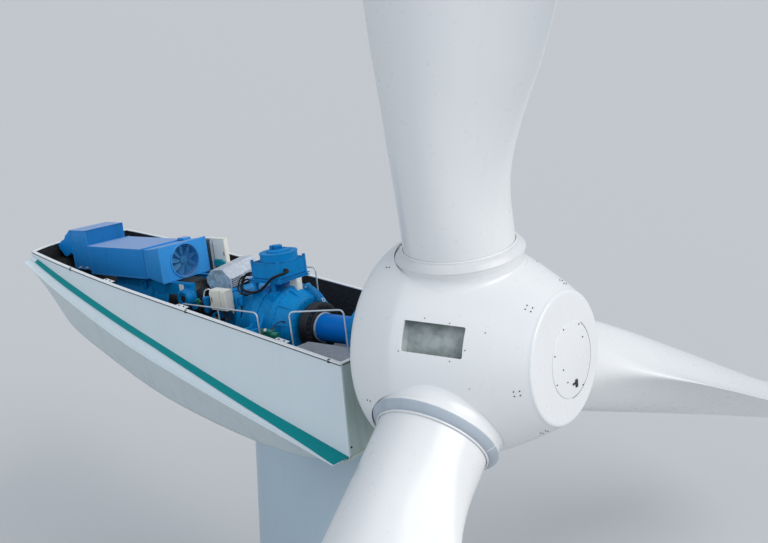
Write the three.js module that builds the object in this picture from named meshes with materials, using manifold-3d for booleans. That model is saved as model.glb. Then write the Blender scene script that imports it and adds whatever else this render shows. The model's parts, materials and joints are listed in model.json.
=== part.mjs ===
// Nacelle of a three-bladed wind turbine with its roof off, with hub, blade roots and tower top.
// Millimetres, +Z up, +X towards the rotor, origin at the centre of the tower section's lower flange.
import * as THREE from 'three';
import { mergeVertices } from 'three/addons/utils/BufferGeometryUtils.js';
import Module from 'manifold-3d';

const wasm = await Module();
wasm.setup();

// Heights
const RIM_Z = 8600;
const TOWER_TOP_Z = RIM_Z - 2560;
const SEAT_Z = RIM_Z - 2180;

// Hull plan, with x along the nacelle and the roof line level at RIM_Z
const TAIL_X = -8546;
const FRONT_X = 1933;
const TAPER_X = -3759;
const HALF_WIDTH = 1664;
const TAIL_NARROWING = 277;
const TAIL_BOW = 330;
const WALL = 40;
const SHELF_OUT = 250;
const FLOOR_HALF = 1400;
const FRONT_LEAN = 0.105;
const SHAFT_NOTCH_R = 760;

// Rotor, whose axis rises towards its nose
const TILT = THREE.MathUtils.degToRad(8.4);
const HUB_X = 3502;
const HUB_Z = RIM_Z + 240;
const ROTOR_TURN = THREE.MathUtils.degToRad(7.5);
const CONE = THREE.MathUtils.degToRad(4.1);
const HUB_R = 1080;
const HUB_FLANGE_R = 640;
const SPINNER = { back: -1160, belly: -211, nose: 1887, backR: 1853, bellyR: 2032, wall: 35 };
const NOSE_CURVE = { power: 1.313, length: 3282 };
const COLLAR = { r: 1105, s: 1785 };
const SPINNER_HATCH = { from: 5, to: 948, half: 248, angle: THREE.MathUtils.degToRad(67.8), depth: 130 };
const NOSE_HATCH = { r: 640, y: 143, h: -66, thick: 14 };

// Blades, measured out from the hub's centre
const BLADE = { rootR: 950, start: 1617.5, end: 13600, wall: 70, edge: 14 };

// Drive train, in its own frame: a along the shaft towards the rotor, y across, h up, zero at the hub's centre
const SHAFT = { r: 280, gearEnd: -3860, hubEnd: -1210 };
const BEARING = { back: -2470, front: -1950, r: 560, half: 880, foot: -640 };
const GEARBOX = { front: -3860, back: -5400, rear: -6150, r: 780, flangeR: 830 };
const TORQUE = { back: -4840, front: -4510, y: 940, half: 140, low: -180, high: 140 };
const OIL_COOLER = { back: -4945, front: -4170, near: -470, far: 310, low: 1000, high: 1380, leg: 35 };
const GENERATOR = { back: -10250, front: -7060, r: 520, axis: 270, top: 850 };
const AIR_COOLER = { back: -10740, front: -8470, half: 600, high: 1545 };
const FAN = { a: -7845, h: 1195, r: 330, wellR: 372, hubR: 95, blades: 9, pitch: 0.55 };
const WALKWAY = { near: -100, far: -300, thick: 40 };
const BEAM = { back: -6500, front: -1900, half: 750, width: 260, low: -1000, high: -640 };

// Tower section
const TOWER_R = 1480;
const TOWER_WALL = 40;
const FLANGE_IN = 190;
const FLANGE_T = 90;
const RAIN_COLLAR = 80;
const RING_R = 1150;
const RING_WIDTH = 120;

// Clearances
const SEAT_GAP = 0.3;
const RING_GAP = 0.5;
const SHAFT_GAP = 1.2;
const RUN_GAP = 8;

const WALL_IN = HALF_WIDTH - WALL - SEAT_GAP;

const nacelle = new THREE.Group();

function paint(color, roughness, metalness) {
  return { color, roughness, metalness };
}

const TRIM_WHITE = paint(0xdfe4e8, 0.4, 0);
const SHELL_WHITE = paint(0xe9eced, 0.35, 0);
const HULL_WHITE = paint(0xc9d6dd, 0.4, 0);
const BLUE = paint(0x2f6fb5, 0.45, 0.1);
const CASTING_BLUE = paint(0x1464a8, 0.4, 0.1);
const SHAFT_BLUE = paint(0x0a55a5, 0.35, 0.1);
const GALVANISED = paint(0xb4b9bd, 0.45, 0.8);
const CREAM = paint(0xd8d6c4, 0.5, 0);
const BLACK = paint(0x17181a, 0.6, 0.2);
const GREEN = paint(0x0f7a60, 0.45, 0.1);
const STEEL = paint(0x8a8f93, 0.4, 0.8);
const GREY = paint(0x8f979c, 0.55, 0.1);

// Adds one named piece to a group
function piece(name, geometry, look, group = nacelle) {
  const mesh = new THREE.Mesh(geometry, new THREE.MeshStandardMaterial(look));
  mesh.name = name;
  group.add(mesh);
}

// Leaves a geometry with its places only, and its shared corners merged
function welded(geometry) {
  const bare = geometry.clone();
  bare.deleteAttribute('normal');
  bare.deleteAttribute('uv');
  return mergeVertices(bare, 0.01);
}

// Turns a closed geometry into a solid that can be cut and joined
function solid(geometry) {
  const merged = welded(geometry);
  const mesh = new wasm.Mesh({
    numProp: 3,
    vertProperties: new Float32Array(merged.attributes.position.array),
    triVerts: new Uint32Array(merged.index.array),
  });
  return new wasm.Manifold(mesh);
}

function geometryOf(body) {
  const mesh = body.getMesh();
  const geometry = new THREE.BufferGeometry();
  geometry.setAttribute('position', new THREE.BufferAttribute(mesh.vertProperties, 3));
  geometry.setIndex(new THREE.BufferAttribute(mesh.triVerts, 1));
  return geometry;
}

function union(...geometries) {
  return geometries.map(solid).reduce((joined, next) => joined.add(next));
}

// A box between two corners, given as the two ends of each side in any order
function box(x0, x1, y0, y1, z0, z1) {
  const geometry = new THREE.BoxGeometry(Math.abs(x1 - x0), Math.abs(y1 - y0), Math.abs(z1 - z0));
  return geometry.translate((x0 + x1) / 2, (y0 + y1) / 2, (z0 + z1) / 2);
}

// Lathe solids about Z and X; a profile is a list of [radius, place along the axis]
function turned(profile, segments = 40) {
  const points = profile.map(([r, z]) => new THREE.Vector2(r, z));
  return facingOut(new THREE.LatheGeometry(points, segments).rotateX(Math.PI / 2));
}

function turnedX(profile, segments = 32) {
  return turned(profile, segments).rotateY(Math.PI / 2);
}

function diskX(r, x0, x1, segments = 32) {
  return turnedX([[0, x0], [r, x0], [r, x1], [0, x1]], segments);
}

function diskZ(r, z0, z1, segments = 32) {
  return turned([[0, z0], [r, z0], [r, z1], [0, z1]], segments);
}

function ringX(r0, r1, x0, x1, segments = 32) {
  return turnedX([[r0, x0], [r1, x0], [r1, x1], [r0, x1], [r0, x0]], segments);
}

function ringZ(r0, r1, z0, z1, segments = 32) {
  return turned([[r0, z0], [r1, z0], [r1, z1], [r0, z1], [r0, z0]], segments);
}

// Joins cross-sections of equal length into one closed body, with both ends capped
function loft(sections) {
  const count = sections[0].length;
  const positions = sections.flat().flatMap((point) => point.toArray());
  const index = [];
  for (let i = 0; i + 1 < sections.length; i += 1) {
    for (let j = 0; j < count; j += 1) {
      const k = (j + 1) % count;
      const a = i * count;
      const b = a + count;
      index.push(a + j, a + k, b + k, a + j, b + k, b + j);
    }
  }
  const last = (sections.length - 1) * count;
  for (const [a, b, c] of capFaces(sections[0])) {
    index.push(c, b, a);
  }
  for (const [a, b, c] of capFaces(sections[sections.length - 1])) {
    index.push(last + a, last + b, last + c);
  }
  const geometry = new THREE.BufferGeometry();
  geometry.setAttribute('position', new THREE.Float32BufferAttribute(positions, 3));
  geometry.setIndex(index);
  return facingOut(geometry);
}

function capFaces(section) {
  const normal = new THREE.Vector3();
  section.forEach((point, j) => {
    const next = section[(j + 1) % section.length];
    normal.add(point.clone().cross(next));
  });
  normal.normalize();
  const upward = Math.abs(normal.z) > 0.9 ? new THREE.Vector3(0, 1, 0) : new THREE.Vector3(0, 0, 1);
  const u = upward.cross(normal).normalize();
  const v = normal.clone().cross(u);
  const flat = section.map((point) => new THREE.Vector2(point.dot(u), point.dot(v)));
  return THREE.ShapeUtils.triangulateShape(flat, []);
}

// Turns every face round if the body's volume comes out negative
function facingOut(geometry) {
  const p = geometry.attributes.position;
  const index = geometry.index.array;
  const [a, b, c] = [new THREE.Vector3(), new THREE.Vector3(), new THREE.Vector3()];
  let volume = 0;
  for (let i = 0; i < index.length; i += 3) {
    a.fromBufferAttribute(p, index[i]);
    b.fromBufferAttribute(p, index[i + 1]);
    c.fromBufferAttribute(p, index[i + 2]);
    volume += a.dot(b.clone().cross(c));
  }
  if (volume < 0) {
    for (let i = 0; i < index.length; i += 3) {
      [index[i + 1], index[i + 2]] = [index[i + 2], index[i + 1]];
    }
  }
  return geometry;
}

// A plate cut to an outline of [x, y] points
function plate(points, thickness) {
  const shape = new THREE.Shape(points.map(([x, y]) => new THREE.Vector2(x, y)));
  return new THREE.ExtrudeGeometry(shape, { depth: thickness, bevelEnabled: false });
}

// Stands a plate up: outline's x along the nacelle, outline's y up, thickness to the near side of y
function standing(points, thickness, y) {
  return plate(points, thickness).rotateX(Math.PI / 2).translate(0, y, 0);
}

// Stands a plate across the nacelle: outline's x across, outline's y up, thickness from x on
function across(points, thickness, x) {
  return plate(points, thickness).rotateX(Math.PI / 2).rotateZ(Math.PI / 2).translate(x, 0, 0);
}

// A tube that follows a list of points
function tube(points, radius, sides, steps, tension) {
  const places = points.map((q) => new THREE.Vector3(...q));
  const path = new THREE.CatmullRomCurve3(places, false, 'catmullrom', tension);
  const round = new THREE.Shape();
  for (let i = 0; i < sides; i += 1) {
    const angle = (2 * Math.PI * i) / sides;
    const [x, y] = [radius * Math.cos(angle), radius * Math.sin(angle)];
    if (i === 0) round.moveTo(x, y);
    else round.lineTo(x, y);
  }
  return new THREE.ExtrudeGeometry(round, { steps, bevelEnabled: false, extrudePath: path });
}

// Straight-line reading of a list of [place, value]
function valueAt(list, place) {
  const i = Math.max(1, list.findIndex(([end], j) => place <= end || j === list.length - 1));
  const [[a, u], [b, v]] = [list[i - 1], list[i]];
  const share = Math.min(1, Math.max(0, (place - a) / (b - a)));
  return u + (v - u) * share;
}

// Tower section with inner bolting flanges, its platform, and the fixed ring of the yaw bearing
function tower() {
  const inner = TOWER_R - TOWER_WALL;
  const lip = TOWER_R - FLANGE_IN;
  const top = TOWER_TOP_Z;
  const topHole = RING_R - 150;
  const profile = [
    [lip, 0], [TOWER_R, 0], [TOWER_R, top + RAIN_COLLAR], [inner, top + RAIN_COLLAR], [inner, top],
    [topHole, top], [topHole, top - FLANGE_T],
    [inner, top - FLANGE_T], [inner, FLANGE_T], [lip, FLANGE_T], [lip, 0],
  ];
  const platform = diskZ(lip - SEAT_GAP, 0, WALL, 40);
  const ring = ringZ(RING_R - RING_WIDTH, RING_R, top + SEAT_GAP, SEAT_Z - RING_GAP, 40);
  piece('tower_section', turned(profile), HULL_WHITE);
  piece('flange_platform', platform, GREY);
  piece('yaw_ring', ring, STEEL);
}

// Half the hull's width at the roof line
function halfWidth(x) {
  const past = Math.max(0, (TAPER_X - x) / (TAPER_X - TAIL_X));
  return HALF_WIDTH - TAIL_NARROWING * past ** 2;
}

// A smooth line through a list of [place, value]
function smoothed(list, steps) {
  const curve = new THREE.SplineCurve(list.map(([place, value]) => new THREE.Vector2(place, value)));
  return curve.getPoints(steps).map((q) => [q.x, q.y]);
}

// How far the side wall's foot lies below the rim, as [x, drop]
const FOOT = smoothed([
  [-8546, 78], [-6140, 455], [-3900, 837], [-1780, 1196], [-340, 1428], [970, 1600], [1933, 1730],
], 60);

function footZ(x) {
  return RIM_Z - valueAt(FOOT, x);
}

// How far the shelf along the wall's foot falls to its outer edge, as [x, fall]
const SHELF_FALL = smoothed([
  [-8546, 130], [-6140, 260], [-3900, 318], [-1780, 254], [-340, 185], [970, 152], [1933, 132],
], 60);

function lipZ(x) {
  return footZ(x) - valueAt(SHELF_FALL, x);
}

// Underside of the hull, as [x, height below the rim]
const KEEL = smoothed([
  [-8500, -330], [-8150, -880], [-7200, -1600], [-5560, -1980], [-3670, -2330], [-2100, -2450],
  [-400, -2450], [700, -2330], [1450, -2100], [2150, -1750],
], 80);

// Least depth of the flank below the shelf's edge, as [x, depth]
const FLANK_DEPTH = [[TAIL_X, 190], [FRONT_X, 60]];

function lowZ(x) {
  return Math.min(RIM_Z + valueAt(KEEL, x), lipZ(x) - valueAt(FLANK_DEPTH, x));
}

function floorHalf(x) {
  return FLOOR_HALF - (HALF_WIDTH - halfWidth(x)) * 0.9;
}

// Gives a line of points a thickness on its inner side, as a closed outline
function thick(line, t) {
  const normals = line.slice(1).map(([y, z], i) => {
    const [dy, dz] = [y - line[i][0], z - line[i][1]];
    const length = Math.hypot(dy, dz);
    return [dz / length, -dy / length];
  });
  const inner = line.map(([y, z], i) => {
    const a = normals[Math.max(0, i - 1)];
    const b = normals[Math.min(normals.length - 1, i)];
    const k = t / (1 + a[0] * b[0] + a[1] * b[1]);
    return [y + (a[0] + b[0]) * k, z + (a[1] + b[1]) * k];
  });
  return [...line, ...inner.reverse()];
}

// The hull's front edge leans with the rotor, so a station's x depends on its height
function station(x, y, z) {
  const share = Math.max(0, (x - TAPER_X) / (FRONT_X - TAPER_X));
  return new THREE.Vector3(x + FRONT_LEAN * (RIM_Z - z) * share ** 3, y, z);
}

const STATIONS = [-8505, -8000, -7300, -6600, -5700, -4700, TAPER_X, -2200, -600, 900, FRONT_X];
const SIDES = [[-1, 'near'], [1, 'far']];
const STRIP = { out: 14, in: WALL + 30, low: RIM_Z + SEAT_GAP, high: RIM_Z + 22 };

// Side wall section at a station, from the rim down to its foot
function wallSection(x, side) {
  const w = halfWidth(x);
  const corners = [[w, RIM_Z], [w - WALL, RIM_Z], [w - WALL, footZ(x)], [w, footZ(x)]];
  return corners.map(([y, z]) => station(x, side * y, z));
}

// Lower flank section: the shelf that stands out below the wall, and the skin that runs in to the floor
function flankSection(x, side) {
  const w = halfWidth(x);
  const top = footZ(x) - SEAT_GAP;
  const outer = [
    [w - WALL, top], [w, top], [w + SHELF_OUT - 15, lipZ(x) + 12],
    [w + SHELF_OUT, lipZ(x)], [floorHalf(x) + 80, lowZ(x) + 45], [floorHalf(x), lowZ(x)],
  ];
  const outline = thick(outer, WALL);
  outline[outer.length] = [floorHalf(x), lowZ(x) + WALL * 1.15];
  const leaning = top - 60;
  return outline.map(([y, z]) => (z > leaning ? station(x, side * y, z) : new THREE.Vector3(x, side * y, z)));
}

function floorSection(x) {
  const half = floorHalf(x) - SEAT_GAP;
  const low = lowZ(x);
  const corners = [[-half, low], [half, low], [half, low + WALL], [-half, low + WALL]];
  return corners.map(([y, z]) => new THREE.Vector3(x, y, z));
}

// Section of the rim strip along a side wall
function stripSection(x, side) {
  const w = halfWidth(x);
  const [out, inside] = [side * (w + STRIP.out), side * (w - STRIP.in)];
  const corners = [[out, STRIP.low], [out, STRIP.high], [inside, STRIP.high], [inside, STRIP.low]];
  return corners.map(([y, z]) => new THREE.Vector3(x, y, z));
}

// The tail wall's line in plan, moved in or out, which stands out most in the middle
function tailLine(half, out, end = TAIL_X) {
  const steps = 14;
  const line = [];
  for (let i = 0; i <= steps; i += 1) {
    const y = half * ((2 * i) / steps - 1);
    line.push([end - out - TAIL_BOW * (1 - (y / half) ** 2), y]);
  }
  return line;
}

// Rim strip: one length along each side wall and one round the tail
function rimStrip() {
  const lengths = SIDES.map(([side]) => loft(STATIONS.map((x) => stripSection(x, side))));
  const half = halfWidth(TAIL_X);
  const outer = tailLine(half + STRIP.out, STRIP.out);
  const inner = tailLine(half - STRIP.in, -STRIP.in);
  const join = STATIONS[0] + 20;
  const ends = [[join, outer.at(-1)[1]], [join, inner.at(-1)[1]]];
  const starts = [[join, inner[0][1]], [join, outer[0][1]]];
  const tail = plate([...outer, ...ends, ...inner.reverse(), ...starts], STRIP.high - STRIP.low);
  return geometryOf(union(...lengths, tail.translate(0, 0, STRIP.low)));
}

function hull() {
  for (const [side, word] of SIDES) {
    piece(`side_wall_${word}`, loft(STATIONS.map((x) => wallSection(x, side))), HULL_WHITE);
    piece(`lower_flank_${word}`, loft(STATIONS.map((x) => flankSection(x, side))), HULL_WHITE);
  }
  piece('rim_strip', rimStrip(), TRIM_WHITE);
  const towerHole = diskZ(RING_R + 70, TOWER_TOP_Z - 400, RIM_Z, 40);
  const floor = solid(loft(STATIONS.map(floorSection))).subtract(solid(towerHole));
  piece('hull_floor', geometryOf(floor), HULL_WHITE);
  piece('tail_wall', tailWall(), HULL_WHITE);
  piece('front_wall', frontWall(), HULL_WHITE);
}

// Bowed wall that closes the hull and its shelves at the tail, with a floor of its own
function tailWall() {
  const join = STATIONS[0] - SEAT_GAP;
  const w = halfWidth(TAIL_X);
  const low = lowZ(join);
  const half = [[floorHalf(join), low], [w + SHELF_OUT, lipZ(join)], [w, footZ(join)], [w, RIM_Z]];
  const mirrored = half.map(([y, z]) => [-y, z]).reverse();
  const reach = TAIL_BOW + WALL + 50;
  const outline = solid(across([...mirrored, ...half], reach, join - reach));
  const ends = [[TAIL_X, w + SHELF_OUT], [join, w + SHELF_OUT], [join, -w - SHELF_OUT], [TAIL_X, -w - SHELF_OUT]];
  const plan = solid(plate([...tailLine(w, 0), ...ends], RIM_Z - low + 10).translate(0, 0, low - 5));
  const inside = [...tailLine(w - WALL, -WALL), [join + 10, w - WALL], [join + 10, WALL - w]];
  const room = solid(plate(inside, RIM_Z).translate(0, 0, low + WALL));
  return geometryOf(outline.intersect(plan).subtract(room));
}

// Front wall with its half-round notch for the shaft, leaning like the hull's front edge, and the slope
// from its foot back to the floor
function frontWall() {
  const w = WALL_IN;
  const foot = footZ(FRONT_X) - WALL;
  const low = lowZ(FRONT_X);
  const shape = new THREE.Shape();
  shape.moveTo(-w, RIM_Z);
  shape.lineTo(-w, foot);
  shape.lineTo(w, foot);
  shape.lineTo(w, RIM_Z);
  shape.lineTo(SHAFT_NOTCH_R, RIM_Z);
  shape.absarc(0, RIM_Z, SHAFT_NOTCH_R, 0, -Math.PI, true);
  const options = { depth: WALL, bevelEnabled: false, curveSegments: 20 };
  const geometry = new THREE.ExtrudeGeometry(shape, options);
  geometry.rotateX(Math.PI / 2).rotateZ(Math.PI / 2);
  const p = geometry.attributes.position;
  for (let i = 0; i < p.count; i += 1) {
    p.setX(i, p.getX(i) - WALL + FRONT_X - 2 + FRONT_LEAN * (RIM_Z - p.getZ(i)));
  }
  const edge = FRONT_X - 2 + FRONT_LEAN * (RIM_Z - foot);
  const back = FRONT_X + SEAT_GAP;
  const slope = [
    [edge - WALL + 3, foot + 15], [edge - 3, foot + 15], [edge, foot], [back + WALL, low], [back, low],
    [back, low + WALL],
  ];
  return geometryOf(union(geometry, standing(slope, 2 * w, w)));
}

// Brings a piece from the drive train's frame into the nacelle's
function levelled(geometry) {
  return geometry.rotateY(-TILT).translate(HUB_X, 0, HUB_Z);
}

// Welded main frame: round yaw seat, webs, side beams along the drive train and what carries the walkways
function mainFrame() {
  const parts = [diskZ(RING_R + 30, SEAT_Z, SEAT_Z + 180, 40)];
  const webOutline = [[-900, SEAT_Z + 20], [900, SEAT_Z + 20], [1150, RIM_Z - 1000], [-1500, RIM_Z - 1400]];
  for (const [side] of SIDES) {
    const middle = side * BEAM.half;
    const edge = BEAM.width / 2;
    parts.push(levelled(box(BEAM.back, BEAM.front, middle - edge, middle + edge, BEAM.low, BEAM.high)));
    parts.push(standing(webOutline, 60, middle + 30));
    const pedestal = [TORQUE.y * side - TORQUE.half, TORQUE.y * side + TORQUE.half];
    parts.push(levelled(box(-4900, -4450, ...pedestal, BEAM.low + 100, TORQUE.low - MOUNT_T - SEAT_GAP)));
  }
  for (const back of [BEAM.back, -5400, -2400]) {
    parts.push(levelled(box(back, back + 220, -BEAM.half, BEAM.half, BEAM.low + 10, BEAM.low + 180)));
  }
  const bracket = 80;
  for (const back of [-6300, -5000, -3700, -1990]) {
    for (const [side, word] of SIDES) {
      const [low, high] = [BEAM.low + 140, BEAM.low + 240];
      const underside = WALKWAY[word] - WALKWAY.thick - SEAT_GAP;
      parts.push(levelled(box(back, back + bracket, side * (BEAM.half - 50), side * WALL_IN, low, high)));
      parts.push(levelled(box(back, back + bracket, side * 1250, side * 1330, high - 40, underside)));
    }
  }
  const hollow = diskZ(620, SEAT_Z - 100, SEAT_Z + 400, 32);
  piece('main_frame', geometryOf(union(...parts).subtract(solid(hollow))), GREY);
}

// Rear frame that carries the generator and the walkway beside it
function generatorFrame(drive) {
  const top = WALKWAY.far;
  const front = BEAM.back - SEAT_GAP;
  const middle = 430;
  const parts = [];
  for (const [side] of SIDES) {
    parts.push(box(-10150, front, side * middle - 90, side * middle + 90, top - 100, top));
    parts.push(box(-6700, front, side * middle - 90, side * middle + 90, top - 600, top));
  }
  for (const back of [-10100, -8800, -7300]) {
    parts.push(box(back, back + 150, -middle, 1380, top - 90, top));
  }
  piece('generator_frame', geometryOf(union(...parts)), GREY, drive);
}

const MOUNT_T = 82;

function driveTrain(drive, rotor) {
  const { r, gearEnd, hubEnd } = SHAFT;
  const collar = r + 28;
  const back = gearEnd + RING_GAP;
  piece('main_shaft', turnedX([
    [0, back], [r, back], [r, -3575], [collar, -3574], [collar, -3530], [r, -3529], [r, -2500],
    [r + 20, -2490], [r + 20, -1900], [400, -1500], [HUB_FLANGE_R, hubEnd - 120], [HUB_FLANGE_R, hubEnd], [0, hubEnd],
  ]), SHAFT_BLUE, rotor);
  piece('shrink_disc', ringX(r + SEAT_GAP, 500, -3800, -3580), BLACK, rotor);

  const bearing = BEARING;
  const housing = union(
    diskX(bearing.r, bearing.back, bearing.front),
    box(bearing.back + 30, bearing.front - 30, -bearing.half, bearing.half, bearing.foot + SEAT_GAP, -150),
    box(bearing.back + 70, bearing.front - 70, -470, 470, -300, 380),
  ).subtract(solid(diskX(r + 20 + SHAFT_GAP, -2600, -1800, 64)));
  piece('main_bearing_housing', geometryOf(housing), CASTING_BLUE, drive);

  let gearbox = gearCase(0);
  for (const [side, word] of SIDES) {
    const [inner, outer] = [side * 600, side * (TORQUE.y + 120)];
    gearbox = gearbox.add(solid(box(TORQUE.back, TORQUE.front, inner, outer, TORQUE.low, TORQUE.high)));
    const pad = box(TORQUE.back + 40, TORQUE.front - 40, side * (TORQUE.y - 110), side * (TORQUE.y + 110),
      TORQUE.low - MOUNT_T, TORQUE.low - SEAT_GAP);
    piece(`torque_mount_${word}`, pad, BLACK, drive);
  }
  piece('gearbox_case', geometryOf(gearbox), CASTING_BLUE, drive);
  piece('lifting_arm', geometryOf(liftingArm()), CASTING_BLUE, drive);
  piece('sensor_box', geometryOf(sensorBox()), CREAM, drive);
}

// Gearbox casting: planet stage with its flanges and front cover in the round, and the square rear stage
function gearCase(grow) {
  const { front, back, rear, r, flangeR } = GEARBOX;
  const profile = [
    [0, back], [700, back], [760, back + 40], [760, -4900], [flangeR, -4890], [flangeR, -4700], [r, -4690],
    [r, -4320], [flangeR, -4310], [flangeR, -4200], [640, front - 40], [600, front], [0, front],
  ].map(([radius, a]) => [radius > 0 ? radius + grow : 0, a]);
  const stage = box(rear - grow, back + 20, -620 - grow, 760 + grow, -560 - grow, 700 + grow);
  return union(turnedX(profile), stage);
}

// Bracket on the gearbox's brow that reaches forward over the shrink disc
function liftingArm() {
  const upper = [[-4160, 600], [-4150, 850], [-4060, 880], [-3970, 850], [-3650, 585]];
  const lower = [[-3650, 540], [-3700, 530], [-3850, 590], [-3900, 560]];
  return solid(standing([...upper, ...lower], 60, 180)).subtract(gearCase(SEAT_GAP));
}

function sensorBox() {
  return solid(box(-4330, -4110, -60, 90, 700, 985)).subtract(gearCase(SEAT_GAP));
}

// Oil cooler on four legs over the gearbox, with its fan drum, motor and hose
function oilCooler(drive) {
  const { back, front, near, far, low, high, leg } = OIL_COOLER;
  const feet = [[-4870, -430], [-4360, -430], [-4870, 250], [-4360, 250]];
  const legs = feet.map(([a, y]) => box(a - leg, a + leg, y - leg, y + leg, 560, low + 10));
  const tray = box(-5020, -4150, -490, 345, low, low + 50);
  const [middleA, middleY] = [-4555, -45];
  const drum = diskZ(390, high - 10, 1530).translate(middleA, middleY, 0);
  const collar = ringZ(170, 215, 1520, 1575, 24).translate(middleA, middleY, 0);
  const body = union(box(back, front, near, far, low, high), tray, ...legs, drum, collar);
  piece('oil_cooler', geometryOf(body.subtract(gearCase(SEAT_GAP))), BLUE, drive);
  const motor = union(
    diskZ(110, 1530 + SEAT_GAP, 1690, 20),
    box(-150, 130, -75, 75, 1590, 1700),
  );
  piece('oil_cooler_motor', geometryOf(motor).translate(middleA, middleY, 0), BLUE, drive);
  const route = [
    [front + SEAT_GAP, -290, 1210], [front + 70, -290, 1210], [front + 135, -340, 1208],
    [front + 140, -450, 1195], [front + 60, -555, 1165], [front - 80, -595, 1110], [-4370, -600, 1020],
    [-4510, -600, 920], [-4660, -595, 835], [-4830, -580, 785], [-5060, -550, 770], [-5270, -500, 790],
    [-5370, -440, 860], [-5370, -390, 970], [-5290, -360, 1070], [-5160, -352, 1115], [back - 70, -350, 1125],
    [back - SEAT_GAP, -350, 1125],
  ];
  piece('oil_hose', tube(route, 27, 8, 48, 0.5), BLACK, drive);
}

// Generator with its base, air cooler, fan box, fan and the duct behind it
function generatorSet(drive) {
  const { back, front, r, axis, top } = GENERATOR;
  const body = union(
    turnedX([
      [0, back], [420, back], [r, back + 100], [r, -7500], [480, -7400], [300, -7350],
      [300, front - SEAT_GAP], [0, front - SEAT_GAP],
    ]).translate(0, 0, axis),
    box(-10100, -7550, -500, 500, -200, axis),
    box(-10050, -9800, -520, 520, WALKWAY.far + SEAT_GAP, -150),
    box(-7900, -7650, -520, 520, WALKWAY.far + SEAT_GAP, -150),
    box(-10000, -8500, -400, 400, 500, top - SEAT_GAP),
    box(-8500, -7070, -480, 480, axis, 785),
    diskZ(200, 400, 640, 24).rotateX(Math.PI / 2).translate(-7200, 0, 480),
  );
  piece('generator', geometryOf(body), BLUE, drive);
  const cooler = AIR_COOLER;
  const coolerBox = box(cooler.back, cooler.front, -cooler.half, cooler.half, top, cooler.high);
  piece('generator_cooler', coolerBox, BLUE, drive);
  fanBox(drive);
  const ductBack = -11460;
  piece('rear_duct', box(ductBack, cooler.back - SEAT_GAP, -590, 480, 940, 1920), BLUE, drive);
  const hood = ductBack - SEAT_GAP;
  const elbow = [[hood, 1900], [hood - 110, 1900], [hood - 640, 1520], [hood - 500, 1210], [hood, 960]];
  piece('rear_hood', standing(elbow, 1050, 470), BLUE, drive);
}

// Flared box at the air cooler's front, and the fan that turns in its well
function fanBox(drive) {
  const cooler = AIR_COOLER;
  const back = [[-580, 865], [580, 865], [580, 1525], [-580, 1525]];
  const front = [[-660, 800], [660, 800], [660, 1600], [-660, 1600]];
  const hood = loft([
    back.map(([y, h]) => new THREE.Vector3(cooler.front + SEAT_GAP, y, h)),
    front.map(([y, h]) => new THREE.Vector3(-7760, y, h)),
  ]);
  const wellEnd = FAN.a - 115;
  const well = diskX(FAN.wellR, wellEnd, -7700, 36).translate(0, 0, FAN.h);
  piece('fan_box', geometryOf(solid(hood).subtract(solid(well))), BLUE, drive);
  const parts = [diskX(FAN.hubR, FAN.a - 55, FAN.a + 55, 20), diskX(20, wellEnd + SEAT_GAP, FAN.a, 12)];
  for (let i = 0; i < FAN.blades; i += 1) {
    const blade = new THREE.BoxGeometry(12, 90, FAN.r - 45).rotateZ(FAN.pitch);
    parts.push(blade.translate(FAN.a, 0, (FAN.r + 100) / 2).rotateX((2 * Math.PI * i) / FAN.blades));
  }
  piece('cooler_fan', geometryOf(union(...parts)).translate(0, 0, FAN.h), BLUE, drive);
}

function cabinets(drive) {
  const foot = BEAM.high + SEAT_GAP;
  const outline = [
    [-6860, 760], [-6860, 870], [-6680, 1040], [-6300, 1080], [-6070, 890], [-6070, 800], [-6170, 690],
    [-6300, 600], [-6740, 600],
  ];
  const ends = [[-160, 0], [860, 135]];
  const hood = loft(ends.map(([y, lift]) => outline.map(([a, h]) => new THREE.Vector3(a, y, h + lift))));
  const post = box(-6480, -6300, 790, 850, foot, 780);
  piece('coupling_guard', geometryOf(union(hood, post)), GALVANISED, drive);
  const cabinetFoot = WALKWAY.far + WALKWAY.thick + SEAT_GAP;
  piece('control_cabinet', box(-8250, -7290, 830, 970, cabinetFoot, 1530), CREAM, drive);
  piece('junction_box', box(-5980, -5490, -840, -620 - SEAT_GAP, 400, 860), CREAM, drive);
  const pump = union(
    diskX(120, -4050, -3900, 24),
    box(-3960, -3720, -100, 100, -240 + SEAT_GAP, 100),
    diskX(70, -3760, -3600, 20),
  );
  piece('lube_pump', geometryOf(pump).translate(-90, -1140, 140), GREEN, drive);
}

// Walkways inside the hull, and the tubular rails that stand on them
function walkways(drive) {
  const { near, far, thick: sheet } = WALKWAY;
  const split = -3420;
  piece('grating_rear', box(-6450, split - SEAT_GAP, -1480, -1090, near - sheet, near), GALVANISED, drive);
  piece('grating_front', box(split, -1860, -1480, -620, near - sheet, near), GALVANISED, drive);
  piece('grating_far', box(-6350, -1860, 1090, 1500, far - sheet, far), GALVANISED, drive);
  piece('grating_far_rear', box(-10050, -6560, 880, 1380, far + SEAT_GAP, far + sheet), GALVANISED, drive);
  piece('rail_rear', straightRail(-6350, -4020, -1300, near, 620), GALVANISED, drive);
  piece('rail_far', straightRail(-6330, -5020, 1400, far, 830), GALVANISED, drive);
  const floor = near + SEAT_GAP;
  const slanting = tube([
    [-3120, -1300, floor], [-3120, -1300, 350], [-3120, -1300, 650], [-3070, -1280, 705],
    [-2950, -1220, 715], [-2320, -925, 725], [-2200, -870, 715], [-2150, -850, 650],
    [-2150, -850, 300], [-2150, -850, floor],
  ], RAIL_R, 6, 28, 0.05);
  piece('rail_front', slanting, GALVANISED, drive);
}

const RAIL_R = 21;

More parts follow.
